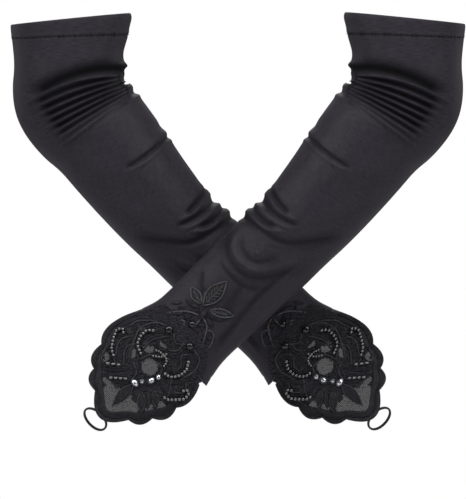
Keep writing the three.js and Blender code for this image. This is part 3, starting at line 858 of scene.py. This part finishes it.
def make_hems():
    elastic_band = inner_band(2, HEM_DEPTH - 2, -1.0, 0.7)
    facing = inner_band(2.5, HEM_DEPTH + 0.6, -2.4, 0.35)
    cuff_hem = inner_band(CUFF_END - 8, CUFF_END - 1.2, -1.15, 0.35)
    pieces = [
        ("hem_stitches", hem_stitches(), SEWING_THREAD, "upper", "thread", "hem_stitching"),
        ("hem_elastic_band", elastic_band, ELASTIC, "upper", "elastic", "hem_elastic"),
        ("hem_facing_band", facing, SATIN, "upper", "satin", "hem_facing"),
        ("cuff_facing_band", cuff_hem, SATIN, "hand", "satin", "cuff_hem"),
    ]
    for side in SIDES:
        add_riding(side, pieces)


def make_seams():
    """The overlocked seam allowance inside the forearm."""
    distance = np.linspace(ELBOW_FOLD_END + 4, WRIST_FOLD[0] - 4, 240)
    stitches = 0.35 * np.abs(np.sin(distance * math.pi / 1.6))
    waver = SEAM_ANGLE + 0.01 * np.sin(distance / 9)
    rows = [sleeve_point(distance, waver + angle, lift - stitches) for angle, lift in SEAM_SECTION]
    uvs = np.stack(np.meshgrid(distance * MM, np.arange(len(rows)) * 1.5 * MM, indexing="ij"), -1)
    shape = grid(np.stack(rows, 1), uvs, wrapped=True)
    for side in SIDES:
        add_riding(side, [("overlocked_seam", shape, SEWING_THREAD, "forearm", "satin", "forearm_seam")])


# ---- tulle over the back of the hand ----
NOTCHES = [(-35, 22), (-37, 57), (-28.3, 74), (-16.2, 85.2), (17.1, 83.3), (29, 69.8), (36.1, 51.5), (36, 27)]
LOBES = [(-42.5, 43), (-36, 68.5), (-25.5, 82.5), (1, FLAP_LENGTH), (26, 79.5), (36.8, 62.5), (40, 41)]
TULLE_START = 2.0
TULLE_EDGES = np.array(
    [
        [TULLE_START, -24, 22],
        [12, -29, 29],
        [22, -34, 34.5],
        [38, -38.5, 37],
        [51, -38, 35.5],
        [57, -36.5, 34],
        [69, -30.5, 29],
        [78, -23.5, 21.5],
        [86, -14.5, 14.5],
        [93, -6.5, 7.5],
        [FLAP_LENGTH - 2.4, -2.5, 4],
    ]
)
# Openings in the embroidery where only net shows: offset, past, half width, half length, how clear it is.
WINDOWS = [
    (0.5, 43.5, 6.0, 5.5, 1.0),
    (-29, 62, 3.5, 3.5, 0.5),
    (2.5, 79, 11.0, 9.5, 1.0),
    (-8, 78, 5.0, 5.0, 0.9),
    (12, 75, 5.0, 4.5, 0.6),
    (-4, 23, 4.0, 3.5, 0.25),
    (27, 59, 3.0, 3.5, 0.45),
    (22, 66, 2.5, 3.0, 0.35),
    (-16, 46, 3.5, 4.0, 0.22),
    (-10, 34, 4.5, 3.5, 0.18),
    (-14, 74, 4.5, 2.0, 0.2),
]
NET_LIFT = 0.75
NET_ROWS, NET_COLUMNS = 190, 150
COVERED = 0.93


def embroidered_cover(offset, past):
    """1 where stitching fills the net, and 0 where only net shows."""
    cover = np.full(offset.shape, COVERED)
    uneven = np.sin(offset * 1.5 + 2.0 * np.sin(past / 2.1)) * np.sin(past * 1.3 + 1.5 * np.sin(offset / 1.9))
    for at, along, half_width, half_length, clear in WINDOWS:
        gap = np.hypot((offset - at) / half_width, (past - along) / half_length) + 0.11 * uneven
        cover = cover - clear * (1 - smoothstep(0.86, 1.08, gap)) * COVERED
    return np.clip(cover, 0, 1)


def make_tulle():
    past = np.linspace(TULLE_START, FLAP_LENGTH - 2.4, NET_ROWS)
    low, high = (np.interp(past, TULLE_EDGES[:, 0], TULLE_EDGES[:, k])[:, None] for k in (1, 2))
    offset = low + (high - low) * np.linspace(0, 1, NET_COLUMNS)
    past = np.broadcast_to(past[:, None], offset.shape)
    cover = embroidered_cover(offset, past)
    texture = np.sin(offset * 2.1 + 1.7 * np.sin(past / 2.3))
    texture = texture * np.sin(past * 1.9 + 1.4 * np.sin(offset / 2.7))
    texture = texture + 0.5 * np.sin(offset * 4.3 + 2.0 * np.sin(past * 0.9)) * np.sin(past * 3.7 + offset)
    lift = NET_LIFT + cover * (0.35 + 0.24 * texture)
    shape = grid(back_point(offset, past, lift), np.stack([offset, past], -1) * MM)
    for side in SIDES:
        piece = add_piece("tulle_flap", side, shape, TULLE)
        add_attribute(piece, "cover", cover)
        stands_for(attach(piece, f"{side}_hand"), side, "tulle", "tulle_panel")


# ---- embroidery ----
LACE_LIFT = 1.0
CORD_STEP = 0.9


def laid_cord(places, width, height, lift, taper=0.18):
    """A satin-stitched cord along places on the back of the hand, narrower towards its ends."""
    _, length = smooth_path(places, 8)
    path, _ = smooth_path(places, max(6, int(length / CORD_STEP)))
    share = np.linspace(0, 1, len(path))
    ends = np.clip(np.minimum(share, 1 - share) / taper, 0, 1)
    fullness = 0.25 + 0.75 * np.sqrt(1 - (1 - ends) ** 2)
    return laid_shape(path, fullness * width / 2, fullness * height, lift, share * length, 8)


def laid_shape(path, half_widths, heights, lift, run, sides, groove=0.0):
    """A shape along a path on the back of the hand, flat below and rounded above."""
    angles = full_circle(sides)
    side_share, rise = np.cos(angles), np.maximum(np.sin(angles), -0.25)
    rise = rise * (1 - groove * swell(side_share, 0, 0.16) * (rise > 0))
    sideways = half_widths[:, None] * side_share
    place = path[:, None] + across_path(path)[:, None] * sideways[..., None]
    points = back_point(place[..., 0], place[..., 1], lift + heights[:, None] * rise)
    uvs = np.stack([np.broadcast_to(run[:, None], sideways.shape), sideways], -1) * MM
    return capped(grid(points, uvs, wrapped=True), sides)


def stitched_leaf(stalk, tip, width, height, lift):
    """A leaf of slanting stitches, with a groove down its middle."""
    path, length = smooth_path([stalk, np.add(stalk, tip) / 2, tip], 15)
    share = np.linspace(0, 1, len(path))
    fullness = np.sin(math.pi * np.clip(share, 0.02, 0.985) ** 0.85) ** 0.8
    heights = (0.35 + 0.65 * fullness) * height
    return laid_shape(path, fullness * width / 2, heights, lift, share * length, 16, groove=0.45)


def leaf_outline(stalk, tip, width, cord, lift, side_veins=0):
    """The two corded edges of a leaf, from stalk to tip, then its vein and slanting side veins."""
    stalk, tip = np.array(stalk, float), np.array(tip, float)
    way = tip - stalk
    sideways = np.array([-way[1], way[0]]) / np.linalg.norm(way) * width / 2
    cords = []
    for out in (sideways, -sideways):
        edge = [stalk, stalk + way * 0.3 + out * 0.85, stalk + way * 0.62 + out * 0.9, tip]
        cords.append(laid_cord(edge, cord, 1.0, lift))
    vein = [stalk + way * 0.08, stalk + way * 0.5 + sideways * 0.06, stalk + way * 0.85]
    cords.append(laid_cord(vein, cord * 0.7, 0.8, lift))
    for k in range(side_veins):
        start = stalk + way * (0.16 + 0.55 * k / side_veins)
        for out in (-sideways, sideways):
            cords.append(laid_cord([start, start + way * 0.13 + out * 0.66], cord * 0.55, 0.6, lift))
    return cords


def scalloped_edge():
    """The border's outer edge, as places."""
    places = []
    for points in zip(NOTCHES, NOTCHES[1:], LOBES):
        start, end, lobe = np.array(points, float)
        control = 2 * lobe - (start + end) / 2
        steps = max(12, int(np.linalg.norm(end - start)))
        t = np.linspace(0, 1, steps, endpoint=False)[:, None]
        places.append((1 - t) ** 2 * start + 2 * t * (1 - t) * control + t**2 * end)
    return np.vstack(places + [np.array([NOTCHES[-1]], float)])


BORDER_INSIDE = [
    (-30, 22), (-34.5, 40), (-31, 55), (-29, 64), (-23.5, 70), (-19, 75), (-11.5, 80.5), (0.5, 89),
    (12, 79), (19, 73.5), (23.5, 66), (29, 57.5), (30.5, 50), (33, 39), (31, 27),
]


def border_band():
    """The embroidered band: a thick rolled edge outside, a channel, and a thinner roll inside."""
    outer = scalloped_edge()
    inner, _ = smooth_path(BORDER_INSIDE, len(outer))
    share = np.linspace(0, 1, 17)
    profile = 0.3 + 0.75 * swell(share, 0.13, 0.15) + 0.35 * swell(share, 0.86, 0.12)
    profile = profile * smoothstep(-0.01, 0.06, share) * (1 - smoothstep(0.97, 1.01, share) * 0.6)
    place = outer[:, None] + (inner - outer)[:, None] * share[None, :, None]
    under = place[:, ::-1]
    top = back_point(place[..., 0], place[..., 1], LACE_LIFT + 0.1 + profile)
    bottom = back_point(under[..., 0], under[..., 1], LACE_LIFT - 0.15)
    width = np.concatenate([share, 2 - share[::-1]]) * 5
    uvs = np.stack(np.meshgrid(run_along(outer) * MM, width * MM, indexing="ij"), -1)
    return grid(np.concatenate([top, bottom], 1), uvs, wrapped=True)


def border_cord():
    """A thin cord in the channel of the border."""
    outer = scalloped_edge()
    inner, _ = smooth_path(BORDER_INSIDE, len(outer))
    middle = outer * 0.55 + inner * 0.45
    return laid_cord(middle[::4], 0.8, 0.8, LACE_LIFT + 0.4, taper=0.01)


# Corded scrolls: places and width.
SCROLLS = [
    ([(-11, 12), (-20, 18), (-24, 30), (-17, 46)], 2.0),
    ([(14, 11), (23, 14), (26, 23), (23, 35)], 2.0),
    ([(16, 15), (12, 21), (17, 27), (17, 32)], 1.6),
    ([(30, 23), (35, 24), (32, 28)], 1.5),
    ([(1, 37), (8, 38), (11, 47)], 1.8),
    ([(-33, 56), (-30, 64), (-25, 66)], 1.6),
    ([(-31, 33), (-29, 25), (-20, 16)], 1.8),
    ([(2, 25), (7, 20), (6, 12)], 1.6),
    ([(-11, 50), (-4, 53), (-2, 60)], 1.8),
    ([(-26, 37), (-29, 46), (-22, 58)], 1.9),
    ([(-18, 37), (-22, 46), (-14, 57)], 1.6),
    ([(-6, 18), (-12, 28), (-12, 38)], 1.5),
    ([(1, 31), (-6, 38), (-9, 46)], 1.6),
    ([(17, 37), (23, 45), (27, 53)], 1.8),
    ([(28, 33), (32, 39), (27, 44), (24, 39)], 1.6),
    ([(9, 12), (2, 17), (-4, 13)], 1.5),
    ([(-27, 27), (-22, 29), (-21, 35)], 1.3),
    ([(-14, 60), (-19, 60), (-24, 57)], 1.4),
    ([(12, 31), (18, 34), (25, 29)], 1.4),
]
# Leaves of filled stitching: stalk, tip, width, height.
LEAVES_ON_NET = [
    ((1, 61), (1, 84.5), 8.5, 1.0),
    ((9, 61), (20, 73), 6.5, 0.95),
    ((15, 54), (26, 62), 5.5, 0.9),
    ((7, 61), (11, 71), 3.5, 0.8),
    ((13, 57), (22, 68), 4.5, 0.8),
    ((-1, 63), (-20, 73), 5.0, 0.9),
    ((-9, 55), (-23, 70), 4.5, 0.8),
    ((17, 49), (31, 41), 6.5, 0.9),
    ((15, 44), (27, 34), 4.5, 0.9),
    ((-22, 41), (-12, 53), 3.5, 0.8),
    ((-18, 25), (-29, 29), 3.5, 0.8),
    ((-28, 47), (-33, 53), 3.0, 0.7),
    ((-25, 33), (-32, 39), 3.0, 0.7),
    ((22, 36), (29, 30), 3.0, 0.7),
    ((26, 20), (32, 18), 3.0, 0.7),
    ((4, 28), (11, 24), 2.5, 0.7),
    ((-12, 32), (-5, 26), 3.0, 0.7),
    ((-8, 46), (-15, 42), 2.5, 0.7),
]
# Rings of petals: offset, past, radius, count.
PETAL_RINGS = [
    (0.5, 43.5, 6.2, 13),
    (-29, 62, 3.6, 7),
    (-4, 23, 4.2, 9),
    (21, 28, 2.0, 6),
    (-17, 30, 1.8, 6),
    (-9, 21, 2.5, 6),
]
SECOND_LINE_GAP = 1.9
SPROUT_LENGTH = 3.4
SPROUT_WIDTH = 1.7
SPROUT_SPACING = 3.6
EDGED_LEAVES = 3
# On the satin above the wrist: stalk, tip, width.
SPRAY_LEAVES = [((-3, -17), (-3, -43), 11.0), ((-5, -17), (-19, -21), 7.0), ((3, -18), (19, -28), 6.0)]
SPRAY_SMALL_LEAVES = [
    ((4, -15), (16, -20), 4.5),
    ((-3, -17), (-11, -28), 4.0),
    ((-4, -14), (-16, -11), 4.5),
    ((6, -12), (14, -11), 3.5),
    ((5, -3), (10, -10), 3.0),
    ((14, -2), (22, -5), 3.0),
    ((18, 4), (24, 9), 3.0),
    ((-6, -8), (-15, -5), 3.5),
    ((-4, -7), (-7, 1), 3.0),
    ((-9, -3), (-17, 4), 3.5),
    ((-16, -8), (-22, -1), 3.0),
    ((9, -6), (15, 0), 3.0),
    ((12, 2), (18, -2), 2.5),
]
SPRAY_STEMS = [
    ([(2, -11), (3, -5), (2, 0)], 1.5),
    ([(2, -11), (10, -8), (15, 0), (19, 8)], 1.5),
    ([(0, -10), (-8, -6), (-14, 0), (-20, 8)], 1.5),
    ([(-9, 4), (-5, 1), (-2, 5)], 1.4),
    ([(10, -5), (16, -8), (21, -2), (22, 6)], 1.2),
]
SPRAY_RINGS = [(0, -7, 4.5, 10), (12, -1, 3.0, 7), (-11, 0, 3.0, 7)]
SPRAY_LIFT = 0.25


def on_net(place, margin=1.5):
    """Whether a place lies on the net, away from its edge."""
    low, high = (np.interp(place[1], TULLE_EDGES[:, 0], TULLE_EDGES[:, k]) for k in (1, 2))
    return TULLE_START < place[1] < FLAP_LENGTH - 6 and low + margin < place[0] < high - margin


def beside(places, gap):
    """A line that runs beside another, at a gap."""
    path, _ = smooth_path(places, 24)
    return (path + gap * across_path(path))[2:-2]


def sprouts(places):
    """Small leaves on both sides of a scroll."""
    path, run = smooth_path(places, 60)
    last = len(path) - 1
    shapes = []
    for k in range(1, int(run / SPROUT_SPACING)):
        at = int(k * SPROUT_SPACING / run * last)
        ahead = unit(path[min(at + 1, last)] - path[at - 1])
        across = np.array([-ahead[1], ahead[0]]) * (1 if k % 2 else -1)
        start = path[at] + across * 0.5
        tip = start + (ahead * 0.55 + across * 0.85) * SPROUT_LENGTH
        if on_net(tip):
            shapes.append(stitched_leaf(start, tip, SPROUT_WIDTH, 0.75, LACE_LIFT))
    return shapes


def petal_ring(offset, past, radius, count, length=2.9, width=1.9, lift=LACE_LIFT):
    """Petals round an opening or a gem."""
    centre = np.array([offset, past])
    shapes = []
    for angle in full_circle(count) + 0.3:
        way = np.array([math.cos(angle), math.sin(angle)])
        stalk, tip = centre + way * radius, centre + way * (radius + length)
        shapes.append(stitched_leaf(stalk, tip, width, 0.8, lift))
    return shapes


def spray_shapes():
    """The spray of open leaves on the satin, in outline cord and in filled stitching."""
    outlines, fills = [], []
    for stalk, tip, width in SPRAY_LEAVES:
        outlines += leaf_outline(stalk, tip, width, 1.3, SPRAY_LIFT + 0.15, side_veins=5)
        fills.append(stitched_leaf(stalk, tip, width * 0.95, 0.35, SPRAY_LIFT - 0.1))
    for stalk, tip, width in SPRAY_SMALL_LEAVES:
        fills.append(stitched_leaf(stalk, tip, width, 0.85, SPRAY_LIFT))
    for ring in SPRAY_RINGS:
        fills += petal_ring(*ring, length=3.6, width=2.0, lift=SPRAY_LIFT)
    fills.append(stitched_leaf((0, -17), (3, -7), 5.0, 1.6, SPRAY_LIFT + 0.2))
    for places, width in SPRAY_STEMS:
        outlines.append(laid_cord(places, width, 0.9, SPRAY_LIFT))
    return merged(outlines), merged(fills)


def scroll_shapes():
    """Each scroll, and a thin second line on one side of it."""
    shapes = [laid_cord(places, width, 1.1, LACE_LIFT + 0.1) for places, width in SCROLLS]
    for k, (places, _) in enumerate(SCROLLS):
        line = beside(places, SECOND_LINE_GAP if k % 2 else -SECOND_LINE_GAP)
        shapes.append(laid_cord([place for place in line if on_net(place)], 0.8, 0.8, LACE_LIFT + 0.1))
    return merged(shapes)


def leaf_shapes():
    """The leaves and petals on the net, and the corded edges of the leaves at the tip."""
    leaves = [stitched_leaf(*leaf, LACE_LIFT + 0.1) for leaf in LEAVES_ON_NET]
    leaves += [leaf for places, _ in SCROLLS for leaf in sprouts(places)]
    leaves += [petal for ring in PETAL_RINGS for petal in petal_ring(*ring)]
    edges = []
    for stalk, tip, width, _ in LEAVES_ON_NET[:EDGED_LEAVES]:
        edges += leaf_outline(stalk, tip, width * 0.92, 0.7, LACE_LIFT + 0.45)[:2]
    return merged(leaves), merged(edges)


def make_embroidery():
    leaves, edges = leaf_shapes()
    spray_outlines, spray_fills = spray_shapes()
    on_hand = [
        ("scalloped_border", border_band(), STITCHING, "scallop_border"),
        ("border_cord", border_cord(), STITCHING),
        ("scrollwork", scroll_shapes(), SCROLL, "thumb_side_lace", "little_finger_side_lace"),
        ("lace_leaves", leaves, STITCHING, "tip_leaf", "side_leaves", "beaded_leaf"),
        ("leaf_veins", edges, OUTLINE),
    ]
    across_wrist = [
        ("spray_outlines", spray_outlines, OUTLINE, "leaf_spray"),
        ("spray_stitching", spray_fills, STITCHING),
    ]
    for side in SIDES:
        add_riding(side, [(*piece[:3], "hand", "embroidery", *piece[3:]) for piece in on_hand])
        for name, shape, material, *nodes in across_wrist:
            piece = bend_at_wrist(add_piece(name, side, shape, material), side)
            stands_for(piece, side, "embroidery", *nodes)


# ---- beads, gems and stones ----
def on_back(shape, offset, past, lift, turn=0.0):
    """Stands a shape, modelled about its own upright axis, on the back of the hand."""
    points, faces, uvs = shape
    seat = back_point(offset, past, lift)
    up = back_point(offset, past, lift + 1.0) - seat
    _, along, _ = arm_frame(WRIST + past)
    first = along - up * (along @ up)
    first /= np.linalg.norm(first)
    second = np.cross(up, first)
    x = points[:, 0] * math.cos(turn) - points[:, 1] * math.sin(turn)
    y = points[:, 0] * math.sin(turn) + points[:, 1] * math.cos(turn)
    return seat + x[:, None] * first + y[:, None] * second + points[:, 2:3] * up, faces, uvs


def turned(profile, sides):
    """A shape turned about its upright axis from (radius, height) pairs, closed on the axis at both ends."""
    angles = full_circle(sides)
    radius, height = (np.array(column, float)[:, None] for column in zip(*profile[1:-1]))
    height = np.broadcast_to(height, (len(radius), sides))
    points = np.stack([radius * np.cos(angles), radius * np.sin(angles), height], -1)
    run = np.arange(len(radius))[:, None] * MM
    uvs = np.stack(np.broadcast_arrays(angles[None] * MM, run), -1)
    skin, faces, flat = grid(points, uvs, wrapped=True)
    bottom, top, last = len(skin), len(skin) + 1, len(skin) - sides
    skin = np.vstack([skin, [(0, 0, profile[0][1]), (0, 0, profile[-1][1])]])
    flat = np.vstack([flat, [(0, 0), (0, 0)]])
    fans = [[bottom, (k + 1) % sides, k] for k in range(sides)]
    fans += [[top, last + k, last + (k + 1) % sides] for k in range(sides)]
    return skin, [face[::-1] for face in faces] + fans, flat


def bead_shape(radius, length=None):
    """A round bead, or a bugle bead of that length, lying along its first axis."""
    if length is None:
        profile = [(radius * math.sin(a), -radius * math.cos(a)) for a in np.linspace(0, math.pi, 9)]
    else:
        half = length / 2
        shoulder = half - min(radius, 0.3 * half)
        upper = [(0.95 * radius, shoulder), (0.55 * radius, half), (0, half)]
        lower = [(r, -h) for r, h in reversed(upper)]
        profile = [*lower, (radius, 0), *upper]
    points, faces, uvs = turned(profile, 12)
    return points[:, [2, 0, 1]], faces, uvs


def bead_string(places, radius, spacing=None, length=None):
    """Beads threaded along places on the back of the hand, and the thread through them."""
    _, run = smooth_path(places, 40)
    count = max(1, int(round(run / (spacing or 2 * radius * BEAD_SPACING))))
    path, _ = smooth_path(places, count * 4 + 1)
    shapes = []
    for k in range(count):
        before, (offset, past), after = path[k * 4 + 1 : k * 4 + 4]
        turn = math.atan2(after[0] - before[0], after[1] - before[1])
        wobble = 0.12 * math.sin(k * 2.7 + offset)
        lift = BEAD_LIFT + 0.1 * math.cos(k * 1.9)
        shapes.append(on_back(bead_shape(radius, length), offset + wobble, past, lift, turn))
    return merged(shapes), tube(back_point(path[:, 0], path[:, 1], BEAD_LIFT), 0.22, 5)


BEAD_STRINGS = {
    "thumb_edge_beads": [(-30, 40), (-33, 37.5), (-35.5, 41), (-33, 47.5), (-29, 53.5), (-23.5, 57)],
    "crescent_beads": [(-15, 21.5), (-19.5, 26), (-19.5, 33.5), (-16.5, 38.5), (-10, 41.5)],
    "hook_beads": [(17.5, 19.5), (21, 26), (20, 33.5), (16.5, 38), (11, 39.5)],
    "little_finger_edge_beads": [
        (30, 40),
        (31.5, 37),
        (34, 37),
        (35, 42),
        (31, 47.5),
        (27, 51.5),
        (23, 52.5),
    ],
}
CROSS_BEADS = [[(-5.5, 31.5), (0, 30), (6, 31), (8, 36.5)], [(3, 27), (1.5, 32), (-4, 36.5)]]
SHORT_BUGLES = [(-25, 65), (-15.5, 57.5)]
LONG_BUGLES = [(-15.5, 71), (-5, 61.5)]
BEAD_LIFT = LACE_LIFT + 1.75
BEAD_SPACING = 1.03  # from one bead to the next, in widths of a bead
# Places and sizes of the gems and stones. Each stone also has its stretch and how far it is turned.
GEMS = [
    ("wrist_rosette", 1, -1.5, 2.6),
    ("thumb_side_rosette", -8.5, 13.5, 3.0),
    ("little_finger_side_rosette", 11, 11.5, 2.8),
]
STONES = [
    (1, 60, 1.9, 1.5, 1.5),
    (4, 55.5, 1.5, 1.0, 0.2),
    (8.5, 50, 1.8, 1.35, -0.3),
    (10.5, 44.5, 1.6, 1.15, 0.4),
]


def stretched(shape, stretch):
    """A shape made longer along its first axis."""
    points, faces, uvs = shape
    return points * np.array([stretch, 1.0, 1.0]), faces, uvs


def cut_stone(radius):
    """A faceted crown under a small table."""
    crown = [(radius, 0.1), (radius, 0.6), (radius * 0.8, 1.15), (radius * 0.45, 1.6)]
    return turned([(0, 0), *crown, (0, 1.62)], 10)


def domed_gem(radius):
    """A black gem cut to a faceted dome."""
    rings = [(radius, 0.1), (radius, 0.7), (radius * 0.88, 1.3), (radius * 0.62, 1.85), (radius * 0.3, 2.15)]
    return turned([(0, 0), *rings, (0, 2.2)], 11)


def metal_cup(radius):
    """A collar with four claws."""
    collar = [(radius + 0.35, -0.35), (radius + 0.4, 0.55), (radius + 0.12, 0.6), (radius + 0.05, 0.1)]
    shapes = [turned([(0, -0.35), *collar, (0, 0.1)], 24)]
    share = np.linspace(0, 1, 4)
    reach, height = radius + 0.25 - 0.7 * share, 0.2 + 1.05 * share
    for k in range(4):
        cosine, sine = math.cos((k + 0.5) * math.pi / 2), math.sin((k + 0.5) * math.pi / 2)
        claw = np.stack([reach * cosine, reach * sine, height], -1)
        shapes.append(tube(claw, 0.24, 6, up=(sine, -cosine, 0.1)))
    return merged(shapes)


def flat_facets(piece):
    piece.data.polygons.foreach_set("use_smooth", np.zeros(len(piece.data.polygons), dtype=bool))
    return piece


def make_beads():
    strings = {name: bead_string(places, 1.3) for name, places in BEAD_STRINGS.items()}
    crosses = [bead_string(places, 1.0) for places in CROSS_BEADS]
    strings["cross_beads"] = [merged(shapes) for shapes in zip(*crosses)]
    strings["short_bugle_row"] = bead_string(SHORT_BUGLES, 1.0, spacing=4.0, length=3.0)
    strings["long_bugle_row"] = bead_string(LONG_BUGLES, 1.0, spacing=3.6, length=2.8)
    pieces = []
    for name, (beads, _) in strings.items():
        pieces.append((f"{name}_strung", beads, BEAD, "hand", "black_beads", name))
    threads = merged([thread for _, thread in strings.values()])
    pieces.append(("bead_threads", threads, SEWING_THREAD, "hand", "thread"))
    for side in SIDES:
        add_riding(side, pieces)


def gem_pieces():
    """Each black gem and the petals round it. The gem at the wrist sits on satin, and the rest on lace."""
    pieces = []
    for name, offset, past, radius in GEMS:
        ground, sunk = (LACE_LIFT, -0.45) if past > TULLE_START else (SPRAY_LIFT, 0.1)
        gem = on_back(domed_gem(radius), offset, past, ground - sunk, 0.4)
        petals = merged(petal_ring(offset, past, radius * 0.75, 7, length=3.0, width=2.4, lift=ground))
        pieces.append((f"{name}_gem", gem, GEM, "hand", "black_beads", name))
        pieces.append((f"{name}_petals", petals, STITCHING, "hand", "embroidery"))
    return pieces


def make_gems():
    stones, cups = [], []
    for offset, past, radius, stretch, turn in STONES:
        stones.append(on_back(stretched(cut_stone(radius), stretch), offset, past, LACE_LIFT + 1.3, turn))
        cups.append(on_back(stretched(metal_cup(radius), stretch), offset, past, LACE_LIFT + 1.2, turn))
    gems, stones, cups = gem_pieces(), merged(stones), merged(cups)
    for side in SIDES:
        add_riding(side, gems)
        piece = flat_facets(add_piece("cut_stones", side, stones, STONE))
        stands_for(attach(piece, f"{side}_hand"), side, "crystal", "stone_chain")
        add_riding(side, [("stone_cups", cups, CUP, "hand", "crystal")])


# ---- finger loop ----
LOOP_RADIUS = 10.0
LOOP_LEAN = math.radians(35)
LOOP_DEPTH = 0.8
LOOP_WIDTH = 1.15
# One tack stitch: distance along the flap, and depth.
TACK = [(-2.2, -0.9), (-1.2, 0.6), (0.0, 1.05), (1.2, 0.6), (2.0, -0.9)]


def finger_loop():
    """A loop of elastic cord, and the stitches that tack it under the tip of the flap."""
    past = FLAP_LENGTH - 2.8
    _, shift, _ = girth(WRIST + past)
    top = back_point(shift, past, -0.5)
    _, along, outward = arm_frame(WRIST + past)
    down = Y_AXIS * math.cos(LOOP_LEAN) + along * math.sin(LOOP_LEAN)
    turn = np.linspace(0, math.tau, 97)
    radius = LOOP_RADIUS * (1 + 0.012 * np.sin(3 * turn + 0.5))
    out = np.cos(turn)[:, None] * -down + np.sin(turn)[:, None] * outward
    path = top + down * LOOP_RADIUS + radius[:, None] * out
    angles = full_circle(12)
    depth, width = LOOP_DEPTH * np.cos(angles)[:, None], LOOP_WIDTH * np.sin(angles)[:, None]
    ring = path[:, None] + out[:, None] * depth + np.cross(outward, down) * width
    uvs = np.stack(np.meshgrid(turn * LOOP_RADIUS * MM, angles * MM, indexing="ij"), -1)
    tacks = []
    for k in range(5):
        start = top + outward * ((k - 2) * 0.85 + 0.3 * math.sin(k))
        line = [start + along * ahead + Y_AXIS * depth for ahead, depth in TACK]
        tacks.append(tube(smooth_path(line, 12)[0], 0.24, 6))
    return grid(ring, uvs, wrapped=True), merged(tacks)


def make_finger_loops():
    loop, tacks = finger_loop()
    pieces = [
        ("elastic_finger_loop", loop, ELASTIC, "loop", "elastic", "finger_loop"),
        ("loop_tacking", tacks, SEWING_THREAD, "hand", "thread"),
    ]
    for side in SIDES:
        add_riding(side, pieces)


make_sleeves()
make_hems()
make_seams()
make_tulle()
make_embroidery()
make_beads()
make_gems()
make_finger_loops()
